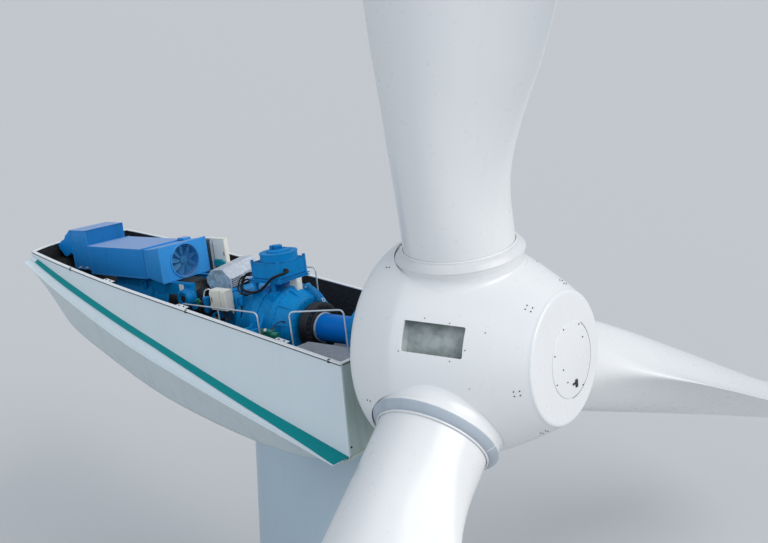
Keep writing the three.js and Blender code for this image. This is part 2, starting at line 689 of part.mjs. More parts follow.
// A rail along the nacelle with rounded corners and a post at its middle
function straightRail(back, front, y, walkway, top) {
  const floor = walkway + SEAT_GAP;
  const bar = tube([
    [back, y, floor], [back, y, top - 320], [back, y, top - 60], [back + 60, y, top - 5],
    [back + 250, y, top], [front - 280, y, top], [front - 60, y, top - 5], [front, y, top - 60],
    [front, y, top - 320], [front, y, floor],
  ], RAIL_R, 6, 32, 0.05);
  const post = diskZ(19, floor, top - 8, 6).translate((back + front) / 2, y, 0);
  return geometryOf(union(bar, post));
}

// Outline of the spinner from its back edge to its nose, drawn in by a depth
function spinnerProfile(depth) {
  const { back, belly, nose, backR, bellyR } = SPINNER;
  const { power, length } = NOSE_CURVE;
  const outline = [];
  const steps = 5;
  for (let i = 0; i <= steps; i += 1) {
    const t = 1 - i / steps;
    outline.push([backR + (bellyR - backR) * Math.sqrt(1 - t * t) - depth, belly + (back - belly) * t]);
  }
  const noseSteps = 7;
  for (let i = 1; i <= noseSteps; i += 1) {
    const a = belly + ((nose - belly) * i) / noseSteps;
    const share = (a - belly) / length;
    outline.push([bellyR * (1 - share ** power) ** (1 / power) - depth, a]);
  }
  return outline;
}

// The room inside the spinner, to a depth below its outer face
function spinnerCore(depth) {
  const front = SPINNER.nose - depth - 5;
  const profile = spinnerProfile(depth).filter(([, a]) => a < front);
  const end = profile[profile.length - 1];
  const rim = [end[0] - (front - end[1]) * 0.75, front];
  const start = SPINNER.back - 10;
  return solid(turnedX([[0, start], [SPINNER.backR - depth, start], ...profile, rim, [0, front]]));
}

// Turns what is built around +Z to stand over the spinner's side opening
function overHatch(geometry) {
  return geometry.rotateX(SPINNER_HATCH.angle);
}

// Shallow tray that closes the spinner's side opening from inside
function hatchTray() {
  const { from, to, half, depth } = SPINNER_HATCH;
  const sheet = 25;
  const outer = solid(overHatch(box(from - sheet, to + sheet, -half - sheet, half + sheet, 1000, 2400)));
  const inner = solid(overHatch(box(from, to, -half, half, 1000, 2400)));
  const below = SPINNER.wall + depth;
  const shell = outer.intersect(spinnerCore(SPINNER.wall + SEAT_GAP)).subtract(spinnerCore(below + sheet));
  return shell.subtract(inner.subtract(spinnerCore(below)));
}

function bladeFrame(k) {
  const frame = new THREE.Group();
  frame.rotation.set(ROTOR_TURN + (2 * Math.PI * k) / 3, CONE, 0);
  frame.updateMatrix();
  return frame;
}

// Blade's reach ahead of and behind its axis, thickness and roundness, as [distance from the hub, value]
const LEADING = [
  [1600, 950], [2300, 950], [2600, 955], [4000, 1015], [6000, 1110], [8000, 1060], [10000, 930],
  [13600, 760],
];
const TRAILING = [
  [1600, 950], [2300, 950], [2500, 960], [3200, 1090], [4000, 1380], [5000, 1850], [6000, 2210],
  [8000, 2480], [10000, 2440], [13600, 2210],
];
const THICKNESS = [
  [1600, 1900], [3500, 1890], [5000, 1780], [6000, 1670], [8000, 1450], [10000, 1230], [13600, 980],
];
const ROUNDNESS = [[1600, 1], [2500, 1], [4500, 0.45], [6500, 0], [13600, 0]];

// Blade's twist in degrees, and how far its section stands off its axis, as [distance from the hub, value]
const TWIST = [[1600, 0], [2500, 0], [6000, 2], [10000, 5], [13600, 7]];
const SWEEP = [[1600, 0], [4000, 0], [8000, 50], [13600, 120]];

// Outline of a blade at a distance from the hub's centre, drawn in by a wall thickness for its hollow
function bladeSection(s, inset = 0) {
  const leading = valueAt(LEADING, s) - inset;
  const trailing = valueAt(TRAILING, s) - inset * 2.2;
  const half = valueAt(THICKNESS, s) / 2 - inset;
  const round = valueAt(ROUNDNESS, s);
  const edge = BLADE.edge / (2 * half);
  const points = [];
  const turn = 12;
  for (let i = 0; i <= turn; i += 1) {
    const angle = Math.PI / 2 + (Math.PI * i) / turn;
    points.push([leading * Math.cos(angle), half * Math.sin(angle)]);
  }
  const steps = 5;
  for (const side of [-1, 1]) {
    const flank = [];
    for (let i = 1; i <= steps; i += 1) {
      const u = Math.sin((Math.PI / 2) * (i / (steps + 0.35)));
      const ellipse = Math.sqrt(1 - u * u);
      const wedge = 0.5 * (1 + Math.cos(Math.PI * u ** 1.15)) * (1 - edge) + edge;
      flank.push([trailing * u, side * half * (ellipse * round + wedge * (1 - round))]);
    }
    points.push(...(side < 0 ? flank : flank.reverse()));
  }
  const twist = THREE.MathUtils.degToRad(valueAt(TWIST, s));
  const [cos, sin] = [Math.cos(twist), Math.sin(twist)];
  const sweep = valueAt(SWEEP, s);
  return points.map(([x, y]) => new THREE.Vector3(x * cos - y * sin, x * sin + y * cos + sweep, s));
}

// Hollow blade section, open at its root and closed by a rib at its outer end
function bladeShell() {
  const { start, end, wall } = BLADE;
  const outer = [start, 2300, 2500, 3200, 4000, 4800, 5600, 6600, 8000, 9800, 11600, end];
  const inner = [start - 20, 2500, 4000, 5600, 8000, 10800, end - wall];
  const skin = solid(loft(outer.map((s) => bladeSection(s))));
  return skin.subtract(solid(loft(inner.map((s) => bladeSection(s, wall)))));
}

// The collar that grows out of the spinner around a blade's root
function collarNeck() {
  const { r, s } = COLLAR;
  return turned([
    [0, 900], [1260, 900], [1200, 1450], [r, 1570], [r - 32, 1650], [r - 20, 1730], [r, s], [0, s],
  ], 32);
}

function bladeSeal() {
  const inner = BLADE.rootR + RUN_GAP;
  const foot = COLLAR.s + SEAT_GAP;
  const outer = COLLAR.r + 3;
  return turned([
    [inner, foot + 178], [inner + 22, foot + 176], [outer - 98, foot + 150], [outer - 48, foot + 110],
    [outer - 14, foot + 65], [outer, foot + 15], [outer - 2, foot], [inner, foot], [inner, foot + 178],
  ], 32);
}

// Hub, spinner, bearings and blades
function rotorHead(rotor) {
  const { back, nose, backR, wall } = SPINNER;
  let shell = solid(turnedX([[0, back], ...spinnerProfile(0), [0, nose]]));
  const { from, to, half } = SPINNER_HATCH;
  let holes = solid(overHatch(box(from, to, -half, half, 1000, 2400)));
  const hub = [diskX(HUB_FLANGE_R, SHAFT.hubEnd + SEAT_GAP, -700), new THREE.SphereGeometry(HUB_R, 16, 10)];
  for (let k = 0; k < 3; k += 1) {
    const frame = bladeFrame(k);
    shell = shell.add(solid(collarNeck().applyMatrix4(frame.matrix)));
    holes = holes.add(solid(diskZ(1000, 600, 2600).applyMatrix4(frame.matrix)));
    holes = holes.add(solid(diskZ(COLLAR.r + 8, COLLAR.s, 2600).applyMatrix4(frame.matrix)));
    hub.push(diskZ(860, 300, 1440, 24).applyMatrix4(frame.matrix));
    const root = new THREE.Group();
    root.rotation.copy(frame.rotation);
    rotor.add(root);
    piece(`blade_bearing_${k + 1}`, ringZ(HUB_FLANGE_R, 985, 1440 + SEAT_GAP, 1617), STEEL, root);
    piece(`blade_seal_${k + 1}`, bladeSeal(), GREY, root);
    piece(`blade_${k + 1}`, geometryOf(bladeShell()), SHELL_WHITE, root);
  }
  const behind = solid(box(-3000, back, -3000, 3000, -3000, 3000));
  shell = shell.subtract(spinnerCore(wall)).subtract(holes).subtract(behind);
  piece('spinner', geometryOf(shell), SHELL_WHITE, rotor);
  piece('hatch_tray', geometryOf(hatchTray()), GREY, rotor);
  const bulkhead = ringX(HUB_FLANGE_R + SEAT_GAP, backR - wall - SEAT_GAP, back, back + 30);
  piece('spinner_bulkhead', bulkhead, SHELL_WHITE, rotor);
  const cover = diskX(NOSE_HATCH.r, nose + SEAT_GAP, nose + NOSE_HATCH.thick, 36);
  piece('nose_hatch', cover.translate(0, NOSE_HATCH.y, NOSE_HATCH.h), SHELL_WHITE, rotor);
  piece('hub_casting', geometryOf(union(...hub)), GREY, rotor);
}

const drive = new THREE.Group();
drive.position.set(HUB_X, 0, HUB_Z);
drive.rotation.y = -TILT;
nacelle.add(drive);
const rotor = new THREE.Group();
drive.add(rotor);

tower();
hull();
mainFrame();
generatorFrame(drive);
driveTrain(drive, rotor);
oilCooler(drive);
generatorSet(drive);
cabinets(drive);
walkways(drive);
rotorHead(rotor);

export default nacelle;
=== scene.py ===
"""Looks of an open wind turbine nacelle with its spinner, blade sections and tower top.

Laid out as an add-on and run as a script. Lengths are in metres, +Z is up and +X points to the rotor.
Pieces of the drive train are built in its own tilted frame: a along the shaft, y across, h up.
"""

import json
from math import asin, atan2, cos, hypot, pi, radians, sin, sqrt

import bmesh
import bpy
from bpy.props import FloatProperty, FloatVectorProperty, PointerProperty
from mathutils import Matrix, Vector


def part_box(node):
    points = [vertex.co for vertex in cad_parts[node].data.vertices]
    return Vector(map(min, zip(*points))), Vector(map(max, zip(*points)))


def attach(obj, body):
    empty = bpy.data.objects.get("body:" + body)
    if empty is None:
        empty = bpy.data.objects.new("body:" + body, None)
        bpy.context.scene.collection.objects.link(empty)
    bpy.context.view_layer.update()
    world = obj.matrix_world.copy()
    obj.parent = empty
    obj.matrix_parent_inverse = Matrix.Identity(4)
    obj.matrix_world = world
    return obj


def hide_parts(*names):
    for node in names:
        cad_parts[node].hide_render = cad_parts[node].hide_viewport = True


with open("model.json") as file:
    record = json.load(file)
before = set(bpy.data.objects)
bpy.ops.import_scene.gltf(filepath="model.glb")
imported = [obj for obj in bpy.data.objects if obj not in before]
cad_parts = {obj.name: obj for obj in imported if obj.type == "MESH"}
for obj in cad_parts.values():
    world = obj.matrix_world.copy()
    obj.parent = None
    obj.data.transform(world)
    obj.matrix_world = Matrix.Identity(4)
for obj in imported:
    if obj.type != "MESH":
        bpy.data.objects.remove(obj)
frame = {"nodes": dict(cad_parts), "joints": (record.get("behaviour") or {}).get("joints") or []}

at = Matrix.Translation

bl_info = {
    "name": "Wind turbine nacelle",
    "version": (1, 0, 0),
    "blender": (4, 5, 0),
    "location": "View3D > Sidebar > Nacelle",
    "description": "Builds the visible pieces of an open nacelle round its solids",
    "category": "Object",
}

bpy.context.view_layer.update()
NODES = frame["nodes"]
JOINTS = {joint["name"]: joint for joint in frame["joints"]}

# Frames
HUB = Vector(JOINTS["rotor_spin"]["pos_m"])
SHAFT_AXIS = Vector(JOINTS["rotor_spin"]["axis"]).normalized()
TILT = asin(SHAFT_AXIS.z)
DRIVE = at(HUB) @ Matrix.Rotation(-TILT, 4, "Y")
WORLD = Matrix.Identity(4)
ROTOR_TURN = radians(7.5)
CONE = radians(4.1)

# Hull
RIM = 8.6
TAIL_X = -8.546
FRONT_X = 1.933
TAPER_X = -3.759
HALF_WIDTH = 1.664
TAIL_NARROWING = 0.277
TAIL_BOW = 0.33
WALL = 0.04
NOTCH_R = 0.76
SHELF_OUT = 0.25
FLOOR_HALF = 1.4
FRONT_LEAN = 0.105
HULL_BACK = -8.505
FOOT = [(-8.546, 0.078), (-6.14, 0.455), (-3.9, 0.837), (-1.78, 1.196), (-0.34, 1.428), (0.97, 1.6),
    (1.933, 1.73)]
SHELF_FALL = [(-8.546, 0.13), (-6.14, 0.26), (-3.9, 0.318), (-1.78, 0.254), (-0.34, 0.185), (0.97, 0.152),
    (1.933, 0.132)]
KEEL = [(-8.5, -0.33), (-8.15, -0.88), (-7.2, -1.6), (-5.56, -1.98), (-3.67, -2.33), (-2.1, -2.45),
    (-0.4, -2.45), (0.7, -2.33), (1.45, -2.1), (2.15, -1.75)]
FLANK_DEPTH = [(-8.546, 0.19), (1.933, 0.06)]
STRIPE = [(-8.6, 0.36), (-7.8, 0.4), (-6.8, 0.42), (-4.9, 0.37), (-3.4, 0.36), (-1.9, 0.45), (-0.87, 0.54),
    (0.17, 0.65), (1.25, 0.84), (1.933, 1.0)]
STRIPE_BACK = -8.32
UNDERCUT = 0.022
COVE = 2.2

# Spinner and blades
SPINNER = {"back": -1.16, "belly": -0.211, "nose": 1.887, "back_r": 1.853, "belly_r": 2.032, "wall": 0.035}
NOSE_POWER = 1.313
NOSE_LENGTH = 3.282
NOSE_ROUND = 0.05
COLLAR = {"r": 1.105, "bore": 1.0, "top": 1.785, "waist": 0.032, "waist_high": 0.135}
HATCH = {"from": 0.005, "to": 0.948, "half": 0.248, "angle": radians(67.8), "depth": 0.13}
NOSE_HATCH = {"r": 0.64, "y": 0.143, "h": -0.066}
BLADE_ROOT = 0.95
BLADE_START = 1.6175
BLADE_END = 13.6
LEADING = [(1.6, 0.95), (2.3, 0.95), (2.6, 0.955), (4.0, 1.015), (6.0, 1.15), (8.0, 1.1), (10.0, 0.93),
    (13.6, 0.76)]
TRAILING = [(1.6, 0.95), (2.3, 0.95), (2.5, 0.96), (3.2, 1.09), (4.0, 1.38), (5.0, 1.83), (6.0, 2.14),
    (8.0, 2.42), (10.0, 2.44), (13.6, 2.21)]
THICKNESS = [(1.6, 1.9), (3.5, 1.89), (5.0, 1.78), (6.0, 1.67), (8.0, 1.45), (10.0, 1.23), (13.6, 0.98)]
ROUNDNESS = [(1.6, 1.0), (2.2, 0.97), (3.2, 0.6), (4.5, 0.2), (6.0, 0.0), (13.6, 0.0)]
TWIST = [(1.6, 0.0), (2.5, 0.0), (6.0, 2.0), (10.0, 5.0), (13.6, 7.0)]
SWEEP = [(1.6, 0.0), (4.0, 0.0), (8.0, 0.05), (13.6, 0.12)]

# Camera, worked out from the photograph's edges
CAMERA = {"place": (11.524, -12.2, 14.826), "azimuth": radians(39.32), "pitch": radians(17.641),
    "roll": radians(0.165), "lens": 41.8, "sensor": 36.0}


# Settings that a user would change

def length(name, description, default):
    return FloatProperty(name=name, description=description, default=default, unit="LENGTH")


def strength(name, description, default):
    return FloatProperty(name=name, description=description, default=default)


def colour(name, description, default):
    return FloatVectorProperty(name=name, description=description, default=default, subtype="COLOR", size=3,
        min=0.0, max=1.0)


class NacelleSizes(bpy.types.PropertyGroup):
    casting_edge: length("Casting edge", "Rounding on the edges of castings", 0.014)
    bolt: length("Bolt head", "Width of a common bolt head", 0.036)
    rail: length("Rail radius", "Radius of the handrail tubes", 0.0165)
    floor: length("Floor radius", "Radius of the studio floor", 2500.0)
    key_light: strength("Key light", "Strength of the large light", 2.1)
    fill_light: strength("Fill light", "Strength of the light from the other side", 0.85)
    sky_light: strength("Sky light", "Strength of the light from all round", 0.49)


class NacelleColours(bpy.types.PropertyGroup):
    gel_coat: colour("Gel coat", "Spinner and blades", (0.75, 0.757, 0.765))
    hull: colour("Hull", "Side walls and shelf", (0.64, 0.72, 0.76))
    hull_low: colour("Lower hull", "Skin below the shelf", (0.53, 0.6, 0.62))
    stripe: colour("Stripe", "Band along the hull's shelf", (0.0, 0.235, 0.25))
    sheet_blue: colour("Sheet blue", "Ducts, coolers and generator", (0.02, 0.26, 0.68))
    casting_blue: colour("Casting blue", "Gearbox and bearing", (0.0, 0.23, 0.58))
    shaft_blue: colour("Shaft blue", "Main shaft", (0.0, 0.16, 0.6))
    cream: colour("Cream", "Cabinets", (0.66, 0.64, 0.53))
    green: colour("Green", "Pump", (0.0, 0.16, 0.11))
    floor: colour("Floor", "Studio floor", (0.56, 0.57, 0.58))


def sizes():
    return bpy.context.scene.nacelle_sizes


def colours():
    return bpy.context.scene.nacelle_colours


# Readings of lists and curves

def reading(table, place):
    """Straight-line reading of a list of (place, value)."""
    for (a, u), (b, v) in zip(table, table[1:]):
        if place <= b:
            share = min(1.0, max(0.0, (place - a) / (b - a)))
            return u + (v - u) * share
    return table[-1][1]


def eased(table, place):
    """Smooth reading of a list of (place, value), level where the values turn."""
    count = len(table)
    i = next((k for k in range(1, count) if place <= table[k][0]), count - 1)
    (a, u), (b, v) = table[i - 1], table[i]

    def slope(k):
        before, after = table[max(0, k - 1)], table[min(count - 1, k + 1)]
        left = (table[k][1] - before[1]) / max(1e-9, table[k][0] - before[0])
        right = (after[1] - table[k][1]) / max(1e-9, after[0] - table[k][0])
        if k in (0, count - 1) or left * right <= 0:
            return 0.0
        return 2 * left * right / (left + right)

    t = min(1.0, max(0.0, (place - a) / (b - a)))
    span = b - a
    h00, h10 = 2 * t**3 - 3 * t**2 + 1, t**3 - 2 * t**2 + t
    h01, h11 = -2 * t**3 + 3 * t**2, t**3 - t**2
    return h00 * u + h10 * span * slope(i - 1) + h01 * v + h11 * span * slope(i)


def spline(points, steps):
    """Points along a smooth curve through a list of points."""
    knots = [Vector(point) for point in points]
    line = []
    for i in range(steps + 1):
        along = i / steps * (len(knots) - 1)
        k = min(int(along), len(knots) - 2)
        t = along - k
        p0, p1, p2 = knots[max(0, k - 1)], knots[k], knots[k + 1]
        p3 = knots[min(len(knots) - 1, k + 2)]
        line.append(0.5 * ((2 * p1) + (p2 - p0) * t + (2 * p0 - 5 * p1 + 4 * p2 - p3) * t**2
            + (3 * p1 - p0 - 3 * p2 + p3) * t**3))
    return line


KEEL_LINE = [tuple(point) for point in spline(KEEL, 80)]
FALL_LINE = [tuple(point) for point in spline(SHELF_FALL, 60)]
FOOT_LINE = [tuple(point) for point in spline(FOOT, 60)]


# Shapes

def turn_to(direction, place=(0, 0, 0)):
    """Frame whose Z points along a direction."""
    return at(Vector(place)) @ Vector(direction).to_track_quat("Z", "Y").to_matrix().to_4x4()


def turned(step, count, axis="X"):
    """Turn about an axis by some steps, of which a count makes the full circle."""
    return Matrix.Rotation(2 * pi * step / count, 4, axis)


def circle(r, count, start=0.0):
    """Points round a circle."""
    turns = [start + 2 * pi * i / count for i in range(count)]
    return [(r * cos(t), r * sin(t)) for t in turns]


def rounded(corners, r, steps):
    """Outline through the middles of corner arcs, a quarter turn each."""
    line = []
    for quarter, (x, y) in enumerate(corners):
        for i in range(steps + 1):
            t = pi / 2 * (quarter + i / steps)
            line.append((x + r * cos(t), y + r * sin(t)))
    return line


ALONG = Matrix.Rotation(pi / 2, 4, "Y")
WELD = 2e-5
# Angles in degrees above which an edge is shown sharp, and is rounded
SHARP = 35
BEVELLED = 38


def placed(name, data):
    """Object that shows a mesh, light or camera."""
    thing = bpy.data.objects.new(name, data)
    bpy.context.scene.collection.objects.link(thing)
    return thing


class Shape:
    """Points and faces of one piece, gathered from simple forms in one frame before they become a mesh."""

    def __init__(self, place=DRIVE):
        self.place = place
        self.points = []
        self.faces = []
        self.slots = []
        self.slot = 0

    def add(self, points, faces, where=WORLD):
        start = len(self.points)
        full = self.place @ where
        self.points.extend(full @ Vector(point) for point in points)
        self.faces.extend([start + i for i in face] for face in faces)
        self.slots.extend([self.slot] * len(faces))
        return self

    def rings(self, rings, where=WORLD, caps=True, looped=False, slots=None):
        """Skin over a row of rings with the same number of points."""
        count = len(rings[0])
        points = [point for ring in rings for point in ring]
        faces = []
        kinds = []
        for i in range(len(rings) if looped else len(rings) - 1):
            a, b = i * count, ((i + 1) % len(rings)) * count
            for j in range(count):
                k = (j + 1) % count
                faces.append([a + j, a + k, b + k, b + j])
                kinds.append(slots[j] if slots else self.slot)
        if caps and not looped:
            last = (len(rings) - 1) * count
            faces.append(list(range(count))[::-1])
            faces.append([last + j for j in range(count)])
            kinds.extend([self.slot] * 2)
        self.add(points, faces, where)
        self.slots[-len(faces):] = kinds
        return self

    def box(self, low, high, where=WORLD):
        (x0, x1), (y0, y1), (z0, z1) = (sorted(pair) for pair in zip(low, high))
        return self.plate([(x0, y0), (x1, y0), (x1, y1), (x0, y1)], z0, z1, 2, where)

    def lathe(self, profile, where=WORLD, segments=48, closed=False):
        """Turns a list of (radius, height) round Z; a closed profile makes a ring."""
        rings = [[(x, y, z) for x, y in circle(max(r, 1e-5), segments)] for r, z in profile]
        return self.rings(rings, where, caps=not closed, looped=closed)

    def rod(self, r, z0, z1, where=WORLD, segments=24):
        return self.lathe([(r, z0), (r, z1)], where, segments)

    def ring(self, r0, r1, z0, z1, where=WORLD, segments=48):
        return self.lathe([(r0, z0), (r1, z0), (r1, z1), (r0, z1)], where, segments, closed=True)

    def plate(self, outline, low, high, axis=0, where=WORLD):
        """Extrudes an outline along an axis; its points give the other two coordinates."""
        return self.rings([[(*point[:axis], level, *point[axis:]) for point in outline]
            for level in (low, high)], where)

    def tube(self, line, r, sides=10, where=WORLD, looped=False):
        """A round tube along a line of points, whose section doesn't turn as it goes."""
        line = [Vector(point) for point in line]
        count = len(line)
        rings = []
        normal = None
        for i, point in enumerate(line):
            before = line[i - 1] if i or looped else point
            after = line[(i + 1) % count] if i + 1 < count or looped else point
            ahead = (after - before).normalized()
            if normal is None:
                guess = Vector((0, 0, 1)) if abs(ahead.z) < 0.9 else Vector((1, 0, 0))
                normal = guess.cross(ahead).normalized()
            normal = (normal - ahead * normal.dot(ahead)).normalized()
            side = ahead.cross(normal)
            rings.append([point + (normal * x + side * y) * r for x, y in circle(1, sides)])
        return self.rings(rings, where, looped=looped)

    def bolt(self, where=WORLD, size=None, washer=True):
        """Hexagon head on its washer, standing on the plane z = 0."""
        size = size or sizes().bolt
        if washer:
            outer = size * 0.62
            self.lathe([(outer, -0.002), (outer, size * 0.09), (size * 0.3, size * 0.1)], where, 16)
        self.lathe([(size * 0.55, -0.002), (size * 0.55, size * 0.5), (size * 0.47, size * 0.58)], where, 6)

    def bolt_ring(self, r, z, count, where=WORLD, size=None, start=0.0, down=False):
        for x, y in circle(r, count, start):
            self.bolt(where @ (at((x, y, z)) @ (turned(1, 2) if down else WORLD)), size)

    def bolt_row(self, start, end, count, out, size=None):
        """A row of bolts between two places, all facing one way."""
        start, end = Vector(start), Vector(end)
        for i in range(count):
            self.bolt(turn_to(out, start.lerp(end, i / max(1, count - 1))), size)

    def mesh(self, name, weld=True):
        """Mesh of the faces gathered so far, with normals that point out."""
        mesh = bpy.data.meshes.new(name)
        mesh.from_pydata([tuple(point) for point in self.points], [], self.faces)
        mesh.polygons.foreach_set("material_index", self.slots)
        form = bmesh.new()
        form.from_mesh(mesh)
        if weld:
            bmesh.ops.remove_doubles(form, verts=form.verts, dist=WELD)
        bmesh.ops.recalc_face_normals(form, faces=form.faces)
        form.to_mesh(mesh)
        form.free()
        return mesh

    def make(self, name, finish, body="nacelle", edge=0.0, nodes=(), angle=SHARP, weld=True):
        """Makes the piece, hides the nodes that it stands for, and lets it ride on its body."""
        mesh = self.mesh(name, weld)
        for key in (finish,) if isinstance(finish, str) else finish:
            mesh.materials.append(MADE[key])
        mesh.shade_smooth()
        mesh.set_sharp_from_angle(angle=radians(angle))
        piece = placed(name, mesh)
        if edge:
            bevel = piece.modifiers.new("rounded_edges", "BEVEL")
            bevel.width = edge
            bevel.segments = 2
            bevel.limit_method = "ANGLE"
            bevel.angle_limit = radians(BEVELLED)
            bevel.use_clamp_overlap = True
            bevel.harden_normals = True
        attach(piece, body)
        if nodes:
            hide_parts(*nodes)
        return piece


def cut(piece, shape):
    """Cuts a shape out of a piece for good."""
    cutter = placed("cutter", shape.mesh("cutter"))
    modifier = piece.modifiers.new("cut", "BOOLEAN")
    modifier.operation = "DIFFERENCE"
    modifier.solver = "EXACT"
    modifier.object = cutter
    depsgraph = bpy.context.evaluated_depsgraph_get()
    result = bpy.data.meshes.new_from_object(piece.evaluated_get(depsgraph))
    piece.modifiers.clear()
    piece.data = result
    bpy.data.objects.remove(cutter)
    result.shade_smooth()
    result.set_sharp_from_angle(angle=radians(SHARP))


def extent(node, place=DRIVE):
    """Lowest and highest corner of a CAD node, measured in a frame."""
    back = place.inverted()
    points = [back @ vertex.co for vertex in NODES[node].data.vertices]
    low = Vector([min(point[i] for point in points) for i in range(3)])
    high = Vector([max(point[i] for point in points) for i in range(3)])
    return low, high


# Shader groups shared by the materials

def new_group(name, **inputs):
    """Group with named inputs that puts out a colour, a roughness and a height."""
    group = bpy.data.node_groups.new(name, "ShaderNodeTree")
    for label, value in inputs.items():
        kind = "NodeSocketColor" if isinstance(value, tuple) else "NodeSocketFloat"
        socket = group.interface.new_socket(label.replace("_", " "), in_out="INPUT", socket_type=kind)
        socket.default_value = value
    for label, kind in (("Colour", "Color"), ("Roughness", "Float"), ("Height", "Float")):
        group.interface.new_socket(label, in_out="OUTPUT", socket_type=f"NodeSocket{kind}")
    return group, group.nodes.new("NodeGroupInput").outputs, group.nodes.new("NodeGroupOutput").inputs


def feed(tree, socket, value):
    """Links a socket to another one, or sets its value."""
    if isinstance(value, bpy.types.NodeSocket):
        tree.links.new(value, socket)
    else:
        socket.default_value = value


def wire(tree, kind, **settings):
    """Adds a node; a setting that starts with in_ is a value or a link for that socket."""
    node = tree.nodes.new(f"ShaderNode{kind}")
    for key, value in settings.items():
        label = key[3:].replace("_", " ")
        if key.startswith("in_"):
            feed(tree, node.inputs[int(label) if label.isdigit() else label], value)
        else:
            setattr(node, key, value)
    return node


def blend_colour(tree, factor, first, second, kind="MIX"):
    node = wire(tree, "Mix", data_type="RGBA", blend_type=kind)
    for place, value in ((0, factor), (6, first), (7, second)):
        feed(tree, node.inputs[place], value)
    return node.outputs[2]


def math_node(tree, operation, first, second, clamp=False):
    return wire(tree, "Math", operation=operation, use_clamp=clamp, in_0=first, in_1=second).outputs[0]


def times(tree, first, second, clamp=False):
    return math_node(tree, "MULTIPLY", first, second, clamp)


def plus(tree, first, second, clamp=False):
    return math_node(tree, "ADD", first, second, clamp)


def swing(tree, value, amount):
    """How far a value lies from its middle, times an amount."""
    return times(tree, math_node(tree, "SUBTRACT", value, 0.5), amount)


def scaled(tree, vector, factor):
    return wire(tree, "VectorMath", operation="SCALE", in_0=vector, in_Scale=factor).outputs[0]


def noise(tree, place, scale, detail, roughness=0.6, **settings):
    return wire(tree, "TexNoise", in_Vector=place, in_Scale=scale, in_Detail=detail, in_Roughness=roughness,
        **settings).outputs[0]


def object_place(tree):
    return wire(tree, "TexCoord").outputs["Object"]


def ramp(tree, factor, low, high):
    """Value that rises from 0 to 1 between two readings."""
    return wire(tree, "MapRange", in_0=factor, in_1=low, in_2=high, in_3=0.0, in_4=1.0).outputs[0]


def weathered_group():
    """Broad tone changes, streaks that run down, dust and painted light on level faces, fine grain and worn
    edges.
    """
    group, given, result = new_group("weathered_finish", Colour=(0.5, 0.5, 0.5, 1), Roughness=0.4, Tone=0.06,
        Scale=1.0, Dirt_Colour=(0.2, 0.18, 0.15, 1), Streaks=0.1, Spots=0.05, Dust_Colour=(0.6, 0.6, 0.6, 1),
        Dust=0.0, Wear_Colour=(0.4, 0.42, 0.45, 1), Wear=0.0, Grain=0.2)
    place = object_place(group)
    spot = scaled(group, place, given["Scale"])
    broad = noise(group, spot, 0.9, 3.0, 0.55)
    fine = noise(group, spot, 9.0, 4.0)
    bright = plus(group, 1.0, times(group, swing(group, broad, given["Tone"]), 2.0))
    toned = scaled(group, given["Colour"], bright)
    drawn_out = wire(group, "Mapping", in_Vector=spot, in_Scale=(7.0, 7.0, 0.5)).outputs[0]
    streaks = times(group, ramp(group, noise(group, drawn_out, 1.0, 3.0), 0.52, 0.78), given["Streaks"])
    specks = times(group, ramp(group, noise(group, spot, 22.0, 2.0, 0.5), 0.66, 0.74), given["Spots"])
    dirt = math_node(group, "MAXIMUM", streaks, specks, clamp=True)
    dirty = blend_colour(group, dirt, toned, given["Dirt Colour"])
    normal = wire(group, "NewGeometry").outputs["Normal"]
    level = wire(group, "SeparateXYZ", in_0=normal).outputs[2]
    # Faces that look up take the dust colour: real dust on the greys and blacks, and on the blues and the
    # green a lighter tint that is painted sky light on their tops.
    lying = times(group, ramp(group, level, 0.35, 0.95), given["Dust"])
    dust_and_painted_light = times(group, lying, plus(group, 0.65, times(group, fine, 0.7)), clamp=True)
    dusted_and_lit = blend_colour(group, dust_and_painted_light, dirty, given["Dust Colour"])
    rounded = wire(group, "Bevel", samples=4, in_Radius=0.012).outputs[0]
    agreement = wire(group, "VectorMath", operation="DOT_PRODUCT", in_0=rounded,
        in_1=normal).outputs["Value"]
    edge = times(group, ramp(group, agreement, 0.97, 0.8), ramp(group, fine, 0.35, 0.6))
    worn = times(group, edge, given["Wear"], clamp=True)
    feed(group, result["Colour"], blend_colour(group, worn, dusted_and_lit, given["Wear Colour"]))
    rough = plus(group, given["Roughness"], swing(group, fine, 0.18))
    soiled = times(group, math_node(group, "MAXIMUM", dirt, dust_and_painted_light), 0.3)
    feed(group, result["Roughness"], plus(group, rough, soiled, clamp=True))
    grain = times(group, noise(group, place, 140.0, 2.0), given["Grain"])
    feed(group, result["Height"], plus(group, grain, times(group, broad, 0.4)))
    return group


def spangle_group():
    """Crystals of a zinc coat: patches whose tone and gloss differ."""
    group, given, result = new_group("zinc_spangle", Colour=(0.6, 0.62, 0.64, 1), Roughness=0.35, Scale=40.0,
        Contrast=0.2, White_Rust=0.15)
    place = object_place(group)
    cells = wire(group, "TexVoronoi", in_Vector=place, in_Scale=given["Scale"]).outputs["Color"]
    tone = wire(group, "SeparateXYZ", in_0=cells).outputs[0]
    change = swing(group, tone, given["Contrast"])
    toned = scaled(group, given["Colour"], plus(group, 1.0, change))
    bloom = times(group, ramp(group, noise(group, place, 3.5, 4.0), 0.5, 0.72), given["White Rust"])
    feed(group, result["Colour"], blend_colour(group, bloom, toned, (0.75, 0.77, 0.78, 1)))
    rough = plus(group, given["Roughness"], times(group, change, 0.6))
    feed(group, result["Roughness"], plus(group, rough, bloom, clamp=True))
    feed(group, result["Height"], times(group, tone, 0.3))
    return group


MADE = {}


def shader(name, bump=0.1, distance=0.004, **values):
    """A material with its Principled shader and bump node; values are set on the shader's own sockets."""
    material = bpy.data.materials.new(name)
    material.use_nodes = True
    MADE[name] = material
    tree = material.node_tree
    surface = tree.nodes["Principled BSDF"].inputs
    for key, value in values.items():
        surface[key.replace("_", " ")].default_value = value
    relief = wire(tree, "Bump", in_Strength=bump, in_Distance=distance)
    tree.links.new(relief.outputs[0], surface["Normal"])
    return tree, surface, relief.inputs["Height"]


